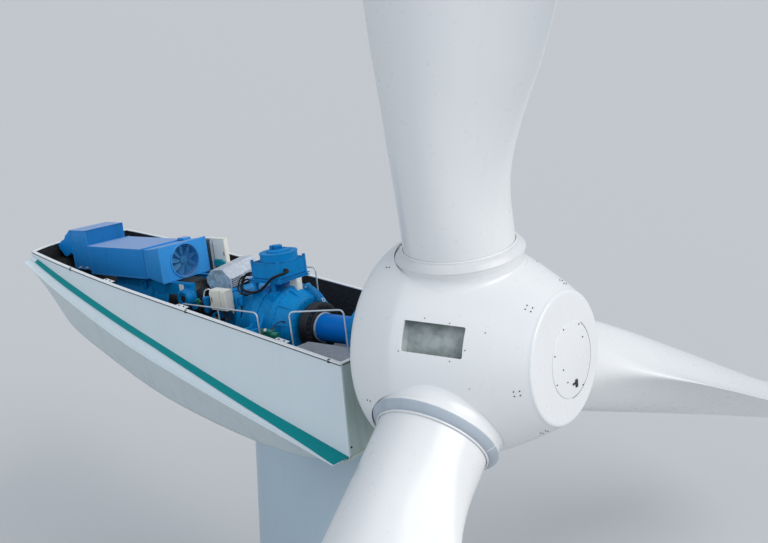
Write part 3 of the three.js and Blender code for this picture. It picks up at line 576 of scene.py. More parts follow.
def place_group(group, tree, surface, height, **values):
    node = tree.nodes.new("ShaderNodeGroup")
    node.node_tree = MADE[group]
    for key, value in values.items():
        node.inputs[key.replace("_", " ")].default_value = value
    for socket, output in ((surface["Base Color"], 0), (surface["Roughness"], 1), (height, 2)):
        tree.links.new(node.outputs[output], socket)
    return node


def full(rgb, gain=1.0):
    return tuple(min(1.0, part * gain) for part in rgb[:3]) + (1.0,)


def painted(name, rgb, roughness=0.4, coat=0.0, metallic=0.0, bump=0.1, distance=0.004, gloss=0.5, dirt=None,
        dust_and_painted_light=None, wear=None, **values):
    """Paint, gel coat or bare metal with the shared weathering; dust (dust, and painted light on faces that
    look up) and wear are a colour and an amount.
    """
    if dirt:
        values["Dirt_Colour"] = (*dirt, 1)
    for layer, look in (("Dust", dust_and_painted_light), ("Wear", wear)):
        if look:
            *tint, values[layer] = look
            values[f"{layer}_Colour"] = (*tint, 1)
    made = shader(name, bump, distance, Metallic=metallic, Coat_Weight=coat, Coat_Roughness=0.15,
        Specular_IOR_Level=gloss)
    place_group("weathered", *made, Colour=full(rgb), Roughness=roughness, **values)


def zinc(name, rgb, roughness, scale, contrast, bloom, metallic):
    made = shader(name, 0.05, 0.002, Metallic=metallic)
    place_group("spangle", *made, Colour=full(rgb), Roughness=roughness, Scale=scale, Contrast=contrast,
        White_Rust=bloom)


def sound_foam():
    """Black sound foam with a close egg-box face."""
    tree, surface, height = shader("sound_foam", 0.9, 0.03, Metallic=0.0)
    place = object_place(tree)
    cells = wire(tree, "TexVoronoi", in_Vector=place, in_Scale=14.0, feature="SMOOTH_F1")
    feed(tree, height, cells.outputs["Distance"])
    cloud = noise(tree, place, 2.2, 4.0, 0.5)
    tone = blend_colour(tree, cloud, (0.012, 0.012, 0.013, 1), (0.03, 0.031, 0.033, 1))
    feed(tree, surface["Base Color"], tone)
    feed(tree, surface["Roughness"], ramp(tree, cloud, -1.2, 0.9))


def bare_laminate():
    """Bare glass-fibre laminate: grey-green with cloudy resin and the print of its mat."""
    tree, surface, height = shader("bare_laminate", 0.25, 0.004, Metallic=0.0)
    place = object_place(tree)
    cloud = ramp(tree, noise(tree, place, 2.6, 6.0, 0.62), 0.35, 0.68)
    tone = blend_colour(tree, cloud, (0.16, 0.19, 0.185, 1), (0.4, 0.44, 0.44, 1))
    fibre = wire(tree, "TexNoise", in_Vector=place, in_Scale=60.0, in_Detail=3.0, in_Distortion=1.5).outputs
    feed(tree, surface["Base Color"], blend_colour(tree, 0.12, tone, fibre["Color"], "OVERLAY"))
    feed(tree, surface["Roughness"], ramp(tree, fibre[0], -0.6, 1.1))
    feed(tree, height, fibre[0])


def turned_steel():
    """Machined metal with fine turning marks across one axis."""
    tree, surface, height = shader("turned_steel", 0.12, 0.001, Metallic=0.9)
    node = place_group("weathered", tree, surface, height, Colour=(0.42, 0.43, 0.44, 1), Roughness=0.3,
        Tone=0.1, Spots=0.1, Scale=2.0)
    marks = wire(tree, "TexWave", in_Vector=object_place(tree), in_Scale=60.0, in_Distortion=0.4,
        bands_direction="Z")
    feed(tree, height, plus(tree, marks.outputs[1], node.outputs["Height"]))


def make_materials():
    """All finishes of the nacelle, by name."""
    tint = colours()
    MADE["weathered"] = weathered_group()
    MADE["spangle"] = spangle_group()
    # The lavender here colours the tops of the blue sheet: partly dust and partly painted sky light. The
    # lighter blue and green top tints of the castings, shaft, arm and pump are painted sky light.
    sky_light_and_dust = (0.42, 0.47, 0.62)
    grime = (0.17, 0.17, 0.16)
    painted("gel_coat", tint.gel_coat, 0.3, 0.25, bump=0.04, distance=0.02, Tone=0.018, Scale=0.6,
        dirt=(0.52, 0.51, 0.47), Streaks=0.05, Spots=0.0, Grain=0.05)
    painted("hull_coat", tint.hull, 0.34, 0.2, bump=0.05, distance=0.02, Tone=0.03, Scale=0.6,
        dirt=(0.36, 0.38, 0.38), Streaks=0.08, Spots=0.0, Grain=0.05)
    painted("lower_hull_coat", tint.hull_low, 0.38, 0.1, bump=0.05, distance=0.02, Tone=0.05, Scale=0.6,
        dirt=(0.24, 0.25, 0.24), Streaks=0.16, Spots=0.03, Grain=0.05)
    painted("stripe_paint", tint.stripe, 0.36, gloss=0.2, bump=0.04, Tone=0.05, dirt=(0.01, 0.14, 0.15),
        Streaks=0.1, Grain=0.05)
    # The front wall's olive base, darker than the hull, is painted shade for the wall behind the spinner;
    # its streaks are stains.
    painted("front_wall_coat", (0.42, 0.515, 0.485), 0.4, 0.1, bump=0.05, distance=0.02, Tone=0.06,
        Scale=0.8, dirt=(0.22, 0.23, 0.17), Streaks=0.3, Spots=0.04, Grain=0.05)
    painted("trim_white", (0.78, 0.8, 0.81), 0.35, bump=0.08, Tone=0.04, dirt=grime, Streaks=0.12,
        Spots=0.25, Scale=1.6)
    painted("tower_paint", (0.385, 0.485, 0.56), 0.36, 0.15, bump=0.05, distance=0.01, Tone=0.03, Scale=0.7,
        dirt=(0.27, 0.31, 0.33), Streaks=0.08, Spots=0.0, Grain=0.08)
    painted("sheet_blue", tint.sheet_blue, 0.45, gloss=0.2, bump=0.08, distance=0.006, Tone=0.05,
        dust_and_painted_light=(*sky_light_and_dust, 0.6), dirt=(0.006, 0.08, 0.26), Streaks=0.25, Spots=0.06,
        wear=(0.16, 0.34, 0.6, 0.5))
    painted("generator_blue", tint.casting_blue, 0.5, gloss=0.2, bump=0.12, distance=0.006, Tone=0.16,
        dust_and_painted_light=(0.02, 0.14, 0.34, 0.4), dirt=(0.002, 0.02, 0.06), Streaks=0.4, Spots=0.15,
        wear=(0.02, 0.16, 0.36, 0.4))
    painted("casting_blue", tint.casting_blue, 0.36, gloss=0.16, bump=0.3, distance=0.008, Tone=0.36,
        Scale=2.2, dust_and_painted_light=(0.01, 0.34, 0.72, 0.4), dirt=(0.0, 0.06, 0.18), Streaks=0.55, Spots=0.45,
        wear=(0.04, 0.4, 0.75, 0.6), Grain=0.6)
    painted("cooler_blue", tint.casting_blue, gloss=0.14, bump=0.08, Tone=0.1, dust_and_painted_light=(0.02, 0.24, 0.56, 0.45),
        dirt=(0.001, 0.05, 0.16), Streaks=0.25, wear=(0.06, 0.34, 0.62, 0.6), Spots=0.1)
    painted("shaft_blue", tint.shaft_blue, 0.34, 0.03, gloss=0.12, bump=0.06, distance=0.003, Tone=0.06,
        dust_and_painted_light=(0.0, 0.24, 0.7, 0.3), dirt=(0.0, 0.03, 0.14), Spots=0.1)
    painted("fan_box_blue", (0.035, 0.29, 0.7), 0.42, gloss=0.25, bump=0.08, distance=0.006, Tone=0.06,
        dust_and_painted_light=(*sky_light_and_dust, 0.4), dirt=(0.006, 0.1, 0.32), Streaks=0.25, Spots=0.08, wear=(0.2, 0.42, 0.7, 0.6))
    painted("arm_blue", (0.02, 0.25, 0.56), 0.36, 0.05, gloss=0.35, bump=0.15, Tone=0.1,
        dust_and_painted_light=(0.08, 0.4, 0.7, 0.3), dirt=(0.002, 0.05, 0.16), Streaks=0.3, Spots=0.15,
        wear=(0.1, 0.4, 0.7, 0.4))
    painted("boot_fabric", (0.004, 0.26, 0.74), 0.55, gloss=0.2, bump=0.25, distance=0.01, Tone=0.1,
        Scale=2.0, dirt=(0.0, 0.03, 0.14), Streaks=0.2, Spots=0.1, Grain=0.8)
    painted("fan_blades", (0.03, 0.2, 0.44), gloss=0.3, Tone=0.12, dirt=(0.004, 0.05, 0.14), Streaks=0.2,
        Spots=0.2)
    painted("guard_wire", (0.05, 0.2, 0.42), gloss=0.3, Tone=0.1, Spots=0.1)
    painted("hose_rubber", (0.007, 0.007, 0.009), 0.5, bump=0.3, distance=0.003, gloss=0.25, Tone=0.15,
        dust_and_painted_light=(0.04, 0.045, 0.055, 0.25), dirt=(0.02, 0.02, 0.02), Spots=0.2)
    painted("cabinet_cream", tint.cream, 0.45, bump=0.06, Tone=0.04, dirt=(0.3, 0.28, 0.2), Streaks=0.18,
        Spots=0.1, wear=(0.5, 0.5, 0.45, 0.3))
    painted("cabinet_white", (0.88, 0.85, 0.76), 0.42, bump=0.05, Tone=0.03, dirt=grime, Spots=0.06)
    painted("pump_green", tint.green, 0.35, 0.3, bump=0.2, Tone=0.12, dust_and_painted_light=(0.1, 0.4, 0.3, 0.3),
        dirt=(0.01, 0.02, 0.02), Streaks=0.3, Spots=0.3, Wear=0.5)
    painted("fitting_teal", (0.0, 0.3, 0.36), 0.35, 0.2, Tone=0.08, Spots=0.1)
    painted("frame_grey", (0.2, 0.22, 0.24), 0.5, bump=0.12, Tone=0.1, dust_and_painted_light=(0.3, 0.3, 0.3, 0.3),
        dirt=(0.03, 0.03, 0.03), Streaks=0.35, Spots=0.2, Wear=0.3)
    painted("black_steel", (0.018, 0.018, 0.02), 0.42, metallic=0.3, bump=0.2, Tone=0.2,
        dust_and_painted_light=(0.1, 0.1, 0.1, 0.25), dirt=(0.06, 0.05, 0.04), Spots=0.3, wear=(0.2, 0.2, 0.21, 0.5))
    painted("black_rubber", (0.014, 0.014, 0.015), 0.62, bump=0.2, Tone=0.15, dust_and_painted_light=(0.12, 0.12, 0.12, 0.3),
        dirt=(0.05, 0.05, 0.05), Streaks=0.2, Spots=0.2)
    # Darker blue-grey that is painted shade: on the second blade's root ring, which turns away from the
    # light, and on the crease under the hull's stripe.
    painted("shade_blue_grey", (0.42, 0.47, 0.53), 0.5, Tone=0.05, dirt=grime, Streaks=0.15, Spots=0.1)
    painted("root_ring", (0.65, 0.655, 0.665), 0.36, 0.15, bump=0.05, Tone=0.03, dirt=grime, Streaks=0.08)
    painted("bolt_steel", (0.35, 0.36, 0.37), 0.35, metallic=0.9, Tone=0.2, dirt=(0.3, 0.17, 0.08),
        Spots=0.3, Scale=6.0)
    painted("dark_bolt", (0.05, 0.05, 0.052), 0.45, metallic=0.6, Tone=0.2, Spots=0.2, Scale=6.0)
    zinc("galvanised_tube", (0.54, 0.61, 0.67), 0.34, 60.0, 0.14, 0.3, 0.5)
    zinc("galvanised_grating", (0.74, 0.76, 0.79), 0.38, 50.0, 0.25, 0.3, 0.4)
    zinc("polished_sheet", (0.36, 0.5, 0.62), 0.3, 9.0, 0.5, 0.25, 0.2)
    zinc("guard_sheet", (0.62, 0.66, 0.72), 0.35, 24.0, 0.2, 0.3, 0.4)
    turned_steel()
    sound_foam()
    bare_laminate()


def dress(finish, *nodes):
    """Gives a CAD node that stays in view its material."""
    for node in nodes:
        slots = NODES[node].material_slots
        for slot in slots:
            slot.material = MADE[finish]
        if not slots:
            NODES[node].data.materials.append(MADE[finish])


# Hull

def half_width(x):
    past = max(0.0, (TAPER_X - x) / (TAPER_X - TAIL_X))
    return HALF_WIDTH - TAIL_NARROWING * past**2


def tail_x(y):
    """Place of the bowed tail wall's outer face."""
    return TAIL_X - TAIL_BOW * (1 - (y / half_width(TAIL_X)) ** 2)


def foot_z(x):
    return RIM - reading(FOOT_LINE, x)


def lip_z(x):
    return foot_z(x) - reading(FALL_LINE, x)


def low_z(x):
    return min(RIM + reading(KEEL_LINE, x), lip_z(x) - reading(FLANK_DEPTH, x))


def floor_half(x):
    return FLOOR_HALF - (HALF_WIDTH - half_width(x)) * 0.9


def lean(x, z, amount=1.0):
    """Places along the hull move forward with depth near its leaning front edge."""
    share = max(0.0, (x - TAPER_X) / (FRONT_X - TAPER_X))
    return x + FRONT_LEAN * (RIM - z) * share**3 * amount


def hull_places(count=64):
    """Places along the hull, closer together at the tail, where the keel turns up."""
    return [HULL_BACK + (FRONT_X - HULL_BACK) * (i / count) ** 1.35 for i in range(count + 1)]


def shelf_line(x):
    """The shelf's face as (y, z, share across): the stripe's slope, a crease, and a cove down to the lip."""
    width, fall = SHELF_OUT - 0.014, foot_z(x) - lip_z(x) - 0.012
    top, edge = foot_z(x) - 0.0005, min(0.985, reading(STRIPE, x))
    line = [(half_width(x) + width * edge * i / 5, top - fall * edge * i / 5, edge * i / 5)
        for i in range(6)]
    y, z, _ = line[-1]
    rest = 1 - edge
    step = UNDERCUT * min(1.0, rest * 2.2)
    y0, z0 = y - step, z - step * 0.45
    line.append((y0, z0, edge))
    y1, z1 = half_width(x) + width, lip_z(x) + 0.012
    for i in range(1, 10):
        u = i / 9
        line.append((y0 + (y1 - y0) * u, z1 + (z0 - z1) * (1 - u) ** COVE, edge + rest * u))
    return line


def hull_wall(places, side, word):
    rings = []
    for x in places:
        w, foot = half_width(x), foot_z(x)
        heights = [RIM - (RIM - foot) * i / 8 for i in range(9)]
        rings.append([(lean(x, z), side * w, z) for z in heights] + [(lean(x, z), side * (w - WALL), z)
            for z in reversed(heights)])
    Shape(WORLD).rings(rings, slots=[0] * 9 + [1] * 8 + [0]).make(f"hull_side_{word}",
        ("hull_coat", "sound_foam"), nodes=[f"side_wall_{word}"])


def hull_flank(places, side, word):
    """Shelf, rounded lip and the skin that runs in to the floor, with foam behind."""
    shape = Shape(WORLD)
    rings = []
    for x in places:
        w, half, low = half_width(x), floor_half(x), low_z(x)
        lip, out, foot = lip_z(x), w + SHELF_OUT, foot_z(x)
        line = [(lean(x, foot, 1 - share), y, z) for y, z, share in shelf_line(x)]
        line += [(x, out - 0.005, lip + 0.0085), (x, out, lip), (x, out - 0.004, lip - 0.008)]
        for i in range(1, 8):
            t = i / 8
            y, z = out + (half + 0.08 - out) * t, lip + (low + 0.045 - lip) * t
            line.append((x, y, z - 0.014 * sin(pi * t)))
        line += [(x, half + 0.08, low + 0.045), (x, half + 0.03, low + 0.012), (x, half, low)]
        line += [(x, half, low + 0.046), (x, half + 0.06, low + 0.09), (x, w - WALL, lip - 0.02)]
        line += [(lean(x, foot), w - WALL, foot - 0.03), (lean(x, foot), w - WALL, foot - 0.0005)]
        rings.append([(place, side * y, z) for place, y, z in line])
    count = len(rings[0])
    # The crease face under the stripe's edge gets the darker blue-grey, painted shade under the ledge.
    shape.rings(rings, slots=[1] * 5 + [3] + [0] * 12 + [2] * 10 + [4] * 6 + [0])
    for i, x in enumerate(places):
        if x < STRIPE_BACK:
            shape.slots[i * count:i * count + 5] = [0] * 5
    looks = ("hull_coat", "stripe_paint", "lower_hull_coat", "shade_blue_grey", "sound_foam")
    shape.make(f"hull_flank_{word}", looks, nodes=[f"lower_flank_{word}"])


def hull_floor(places):
    rings = []
    for x in places:
        half, low = floor_half(x) - 0.0005, low_z(x)
        rings.append([(x, -half, low), (x, half, low), (x, half, low + WALL), (x, -half, low + WALL)])
    shape = Shape(WORLD).rings(rings, slots=[0, 0, 1, 0])
    piece = shape.make("hull_bottom", ("lower_hull_coat", "sound_foam"), nodes=["hull_floor"])
    cut(piece, Shape(WORLD).rod(1.22, RIM - 3.2, RIM, segments=96))


def hull_tail():
    """Bowed wall with its own strip of floor, and the ends of both shelves."""
    join = HULL_BACK - 0.0003
    w, low = half_width(TAIL_X), low_z(join)
    edge = [(0.0, low), (floor_half(join), low), (w + SHELF_OUT, lip_z(join))]
    rings = []
    steps = 36
    for i in range(steps + 1):
        y = w * (2 * i / steps - 1)
        out, bottom = tail_x(y), reading(edge, abs(y))
        line = [(out, RIM + (bottom - RIM) * k / 5) for k in range(6)]
        inner = out + WALL * 1.01
        line += [(join, bottom), (join, bottom + WALL), (inner, bottom + WALL), (inner, RIM)]
        rings.append([(x, y, z) for x, z in line])
    shape = Shape(WORLD).rings(rings, slots=[0] * 7 + [1, 1, 0])
    for side in (-1, 1):
        outline = [(side * y, z) for y, z, _ in shelf_line(join)]
        outline += [(side * (w + SHELF_OUT), lip_z(join)), (side * w, reading(edge, w))]
        shape.plate(outline, TAIL_X, join)
    shape.make("hull_tail", ("hull_coat", "sound_foam"), nodes=["tail_wall"], weld=False)


def hull_front():
    """Front wall with its half-round notch, the slope below it and the band along its foot."""
    w, foot, low = HALF_WIDTH - WALL - 0.0003, foot_z(FRONT_X) - WALL, low_z(FRONT_X)

    def place(z, back=0.0):
        return FRONT_X - 0.002 + FRONT_LEAN * (RIM - z) - back

    def notch(r):
        return [(r * cos(pi * i / 40), RIM - r * sin(pi * i / 40)) for i in range(41)]

    outline = [(-w, RIM), (-w, foot), (w, foot), (w, RIM)] + notch(NOTCH_R)
    wall = Shape(WORLD).rings([[(place(z, back), y, z) for y, z in outline] for back in (0.0, WALL)])
    edge, back = place(foot), FRONT_X + 0.0003
    slope = [(edge - WALL + 0.003, foot + 0.015), (edge - 0.003, foot + 0.015), (edge, foot),
        (back + WALL, low), (back, low), (back, low + WALL)]
    wall.plate(slope, -w, w, 1)
    # Its darker olive finish is painted shade behind the spinner, with stain streaks on top.
    wall.make("front_bulkhead", "front_wall_coat", edge=0.004, nodes=["front_wall"], weld=False)
    trim = Shape(WORLD)
    for side in (-1, 1):
        trim.box((place(RIM) - 0.06, side * (NOTCH_R + 0.01), RIM + 0.0005),
            (place(RIM) + 0.006, side * (HALF_WIDTH - 0.02), RIM + 0.021))
        corner = [(place(z) - 0.012, side * (w + 0.028), z) for z in (RIM - 0.01, foot + 0.01)]
        trim.tube(corner, 0.0135, 8)
    trim.tube([(place(RIM, 0.02), y, z) for y, z in notch(NOTCH_R + 0.004)], 0.014, 8)
    trim.make("front_trim", "trim_white", edge=0.003)
    band = Shape(WORLD).box((edge - 0.004, -w, foot - 0.004), (edge + 0.006, w, foot + 0.018))
    band.make("front_foot_band", "cabinet_cream")
    seal = Shape(WORLD).tube([(place(RIM) + 0.004, y, RIM - 0.012) for y in (-w, -NOTCH_R - 0.02)], 0.011, 8)
    seal.bolt(turn_to((1, 0, 0), (place(foot + 0.2), -w + 0.03, foot + 0.2)), 0.03)
    seal.make("front_seal", "black_rubber")


class BuildHull(bpy.types.Operator):
    """Side walls, shelves with their stripe, floor, tail and front of the hull"""
    bl_idname = "nacelle.hull"
    bl_label = "Hull"

    def execute(self, context):
        places = hull_places()
        for side, word in ((-1, "near"), (1, "far")):
            hull_wall(places, side, word)
            hull_flank(places, side, word)
        hull_floor(places)
        hull_tail()
        hull_front()
        return {"FINISHED"}


def rim_brackets():
    """Plates that the roof bolts to, inside the rim, with their bolts, and the latches on it."""
    plates = Shape(WORLD)
    latches = Shape(WORLD)

    def pad(shape, x, half, across, low, high):
        shape.box((x - half, across[0], low), (x + half, across[1], high))

    for side in (-1, 1):
        for x in (-5.1, -2.52, 0.38):
            w = side * (half_width(x) - WALL)
            pad(plates, x, 0.15, (w - side * 0.008, w - side * 0.03), RIM - 0.09, RIM + 0.03)
            pad(plates, x, 0.15, (w - side * 0.12, w - side * 0.008), RIM + 0.02, RIM + 0.03)
            for shift in (-0.07, 0.07):
                latches.bolt(at((x + shift, w - side * 0.05, RIM + 0.03)), 0.03)
        for x in (-6.57, -2.27, 1.65):
            w = side * half_width(x)
            pad(latches, x, 0.025, (w + side * 0.001, w + side * 0.02), RIM - 0.035, RIM + 0.01)
            pad(latches, x, 0.02, (w - side * 0.02, w + side * 0.02), RIM + 0.0222, RIM + 0.034)
    plates.make("roof_brackets", "trim_white", edge=0.004)
    latches.make("roof_latches", "dark_bolt", edge=0.002)


class BuildRim(bpy.types.Operator):
    """White trim along the rim, its black seal, and the brackets and latches of the roof"""
    bl_idname = "nacelle.rim"
    bl_label = "Rim"

    def execute(self, context):
        tail = [half_width(TAIL_X) * (2 * i / 32 - 1) for i in range(33)]
        points = [Vector((x, -half_width(x), 0)) for x in reversed(hull_places(40))]
        points += [Vector((tail_x(y), y, 0)) for y in tail]
        points += [Vector((x, half_width(x), 0)) for x in hull_places(40)]
        rings = []
        seal = []
        for i, point in enumerate(points):
            ahead = (points[min(i + 1, len(points) - 1)] - points[max(i - 1, 0)]).normalized()
            out = Vector((0, 0, 1)).cross(ahead).normalized()
            section = [(0.014, 0.0005), (0.014, 0.016), (0.008, 0.022), (-0.064, 0.022), (-0.07, 0.016),
                (-0.07, 0.0005)]
            rings.append([point + out * d + Vector((0, 0, RIM + z)) for d, z in section])
            seal.append(point + out * 0.004 + Vector((0, 0, RIM - 0.012)))
        Shape(WORLD).rings(rings).make("rim_trim", "trim_white", nodes=["rim_strip"])
        Shape(WORLD).tube(seal, 0.012, 8).make("rim_seal", "black_rubber")
        rim_brackets()
        return {"FINISHED"}


# Tower

def tower_skirt(r, top):
    """Weather skirt that hangs from the hull's floor over the gap to the tower."""
    columns = []
    for c, s in circle(1, 128):
        high, foot = low_z(r * c) + 0.02 + max(0.0, r * abs(s) - floor_half(r * c)), top - 0.05
        line = [(r + 0.005, foot), (r + 0.013, foot), (r + 0.013, high), (r + 0.005, high)]
        columns.append([(radius * c, radius * s, z) for radius, z in line])
    Shape(WORLD).rings(list(zip(*columns)), looped=True).make("yaw_skirt", "tower_paint")


class BuildTower(bpy.types.Operator):
    """Tower section with its rolled rings, welds and flanges"""
    bl_idname = "nacelle.tower"
    bl_label = "Tower"

    def execute(self, context):
        _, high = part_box("tower_section")
        r, top = high.x, high.z
        seat, wall, flange = top - 0.08, 0.04, 0.09
        outer = [(r, 0.0), (r, flange)]
        for weld in (1.6, 3.6):
            proud = r + 0.002
            outer += [(r, weld - 0.012), (proud, weld - 0.006), (proud, weld + 0.006), (r, weld + 0.012)]
        outer += [(r, top - 0.006), (r - 0.006, top)]
        inner = [(r - wall, top), (r - wall, seat), (1.0, seat), (1.0, seat - flange),
            (r - wall, seat - flange), (r - wall, flange), (r - 0.19, flange), (r - 0.19, 0.0)]
        shape = Shape(WORLD).lathe(outer + inner, segments=128, closed=True)
        shape.make("tower_shell", "tower_paint", "tower", nodes=["tower_section"], angle=15)
        tower_skirt(r, top)
        bolts = Shape(WORLD)
        bolts.bolt_ring(1.35, seat - flange, 60, size=0.05, down=True)
        bolts.bolt_ring(1.36, flange, 60, size=0.05)
        bolts.make("tower_bolts", "bolt_steel", "tower")
        dress("frame_grey", "flange_platform")
        dress("turned_steel", "yaw_ring")
        return {"FINISHED"}


# Spinner and blades

def spinner_radius(a):
    """Radius of the spinner's outer face at a place along the shaft."""
    back, belly = SPINNER["back"], SPINNER["belly"]
    if a < belly:
        t = min(1.0, (belly - a) / (belly - back))
        return SPINNER["back_r"] + (SPINNER["belly_r"] - SPINNER["back_r"]) * sqrt(1 - t * t)
    share = (a - belly) / NOSE_LENGTH
    return SPINNER["belly_r"] * (1 - share**NOSE_POWER) ** (1 / NOSE_POWER)


def spinner_outline(depth=0.0):
    """Half outline from the back edge to the nose as (radius, place), drawn in by a depth."""
    back, belly, nose = SPINNER["back"], SPINNER["belly"], SPINNER["nose"]
    start = nose - NOSE_ROUND * 0.75
    places = [belly + (back - belly) * cos(pi / 2 * i / 16) for i in range(17)]
    places += [belly + (start - belly) * i / 48 for i in range(1, 49)]
    line = [(spinner_radius(a) - depth, a) for a in places]
    r_end = spinner_radius(start) - depth
    for i in range(1, 7):
        t = pi / 2 * i / 6
        line.append((r_end - NOSE_ROUND * 1.4 * (1 - cos(t)), start + (nose - depth - start) * sin(t)))
    return line


def blade_frame(k):
    return DRIVE @ Matrix.Rotation(ROTOR_TURN + 2 * pi * k / 3, 4, "X") @ Matrix.Rotation(CONE, 4, "Y")


def hatch_frame():
    return DRIVE @ Matrix.Rotation(HATCH["angle"], 4, "X")


def spinner_height(k, a, y):
    """Height above the blade frame's foot where a line along the blade's axis meets the spinner."""
    frame_in = DRIVE.inverted() @ blade_frame(k)
    low, high = 1.0, 2.2
    for _ in range(24):
        middle = (low + high) / 2
        point = frame_in @ Vector((a, y, middle))
        if hypot(point.y, point.z) < spinner_radius(point.x):
            low = middle
        else:
            high = middle
    return low


def spinner_shell():
    wall, nose = SPINNER["wall"], SPINNER["nose"]
    profile = spinner_outline() + [(0, nose), (0, nose - wall)] + spinner_outline(wall)[::-1]
    piece = Shape().lathe(profile, ALONG, segments=216, closed=True).make("spinner_shell", "gel_coat",
        "rotor", nodes=["spinner"])
    tool = Shape(WORLD)
    for k in range(3):
        tool.rod(COLLAR["r"] + 0.006, 0.8, 2.8, blade_frame(k), 160)
    soft = 0.03
    near, far, half = HATCH["from"] + soft, HATCH["to"] - soft, HATCH["half"] - soft
    outline = rounded([(far, half), (near, half), (near, -half), (far, -half)], soft, 6)
    tool.plate(outline, 1.2, 2.6, 2, hatch_frame())
    cut(piece, tool)


def spinner_collar(k):
    """Collar that draws in to a waist over a curved fillet, and the coned ring that seals the blade."""
    r, bore, top = COLLAR["r"], COLLAR["bore"], COLLAR["top"]
    steps, waists = 8, 5
    waist = r - COLLAR["waist"]
    columns = []
    for c, s in circle(1, 144):
        surface = spinner_height(k, waist * c, waist * s)
        rise = max(0.0, top - 0.03 - surface)
        fillet = min(0.15, rise * 0.8) * (1 - 0.85 * max(0.0, c) ** 2)
        far_r = max(r + 0.014, waist + fillet * 1.15)
        far_z = spinner_height(k, far_r * c, far_r * s) - 0.004
        start = Vector((far_r, far_z - 0.01 if rise > 0.002 else top - 0.1))
        end = Vector((waist, min(surface + fillet, top - 0.03)))
        middle = Vector((waist, min(surface, top - 0.03)))
        shares = [i / steps for i in range(steps + 1)]
        line = [tuple(start * (1 - u) ** 2 + middle * (2 * u * (1 - u)) + end * u**2) for u in shares]
        for i in range(1, waists + 1):
            z = end.y + (top - 0.012 - end.y) * i / waists
            share = min(1.0, (top - z) / COLLAR["waist_high"])
            line.append((r - COLLAR["waist"] * sin(pi / 2 * share), z))
        line += [(r - 0.006, top - 0.002), (r - 0.014, top), (bore + 0.01, top), (bore, top - 0.01),
            (bore, 1.35), (far_r, min(far_z, 1.6) - 0.2)]
        columns.append([(radius * c, radius * s, z) for radius, z in line])
    collar = Shape(blade_frame(k)).rings(list(zip(*columns)), looped=True)
    collar.make(f"spinner_collar_{k + 1}", "gel_coat", "rotor")
    foot, inner, outer = top + 0.0003, BLADE_ROOT + 0.006, r + 0.003
    cone = [(inner, foot), (outer - 0.004, foot), (outer, foot + 0.004), (outer, foot + 0.02)]
    for i in range(1, 7):
        u = i / 6
        cone.append((outer - 0.112 * u, foot + 0.02 + 0.115 * u + 0.07 * u * (1 - u)))
    ring = Shape(blade_frame(k)).lathe(cone + [(inner, foot + 0.135)], segments=160, closed=True)
    if k == 1:
        ring.slot = 1
        strip = [(inner + 0.03, foot + 0.01)] + [(radius + 0.002, z + 0.002) for radius, z in cone[2:]]
        ring.plate(strip, -0.007, 0.007, 1, Matrix.Rotation(radians(-5), 4, "Z"))
    # The second blade's ring is darker blue-grey, painted shade for the face that turns away from the light;
    # the other two show the ring's own light grey.
    ring.make(f"shade_blue_grey_{k + 1}", ("shade_blue_grey" if k == 1 else "root_ring", "trim_white"), "rotor",
        nodes=[f"blade_seal_{k + 1}"], angle=30)
    low = foot + 0.1352
    profile = [(inner, low), (inner + 0.026, low), (inner + 0.026, foot + 0.16),
        (inner + 0.02, foot + 0.168), (inner + 0.005, foot + 0.168), (inner, foot + 0.163)]
    lip = Shape(blade_frame(k)).lathe(profile, segments=160, closed=True)
    lip.make(f"root_lip_{k + 1}", "gel_coat", "rotor")


def spinner_tray():
    """Shallow laminate tray behind the side opening."""
    wall, depth, sheet = SPINNER["wall"], HATCH["depth"], 0.022
    low, high, half = HATCH["from"] - 0.03, HATCH["to"] + 0.03, HATCH["half"] + 0.03
    columns, rows = 20, 12

    def face(below, grow):
        net = []
        for i in range(columns + 1):
            a = low - grow + (high - low + 2 * grow) * i / columns
            r = spinner_radius(a) - (wall + 0.0003 + below)
            places = [(half + grow) * (2 * j / rows - 1) for j in range(rows + 1)]
            net.append([(a, y, sqrt(r * r - y * y)) for y in places])
        return net

    def border(net):
        return net[0] + [line[-1] for line in net[1:-1]] + net[-1][::-1] + [line[0] for line in net[-2:0:-1]]

    rim, rim_in = face(0.004, 0.03), face(0.006, 0.0)
    pan, back = face(depth, -0.035), face(depth + sheet, -0.02)
    shape = Shape(hatch_frame()).rings([border(rim), border(rim_in), border(pan)], caps=False)
    shape.rings([border(rim), border(back)], caps=False)
    width = rows + 1
    starts = [i * width + j for i in range(columns) for j in range(rows)]
    for net in (pan, back):
        points = [point for line in net for point in line]
        shape.add(points, [[k, k + 1, k + width + 1, k + width] for k in starts])
    shape.make("hatch_pan", "bare_laminate", "rotor", nodes=["hatch_tray"], angle=30)


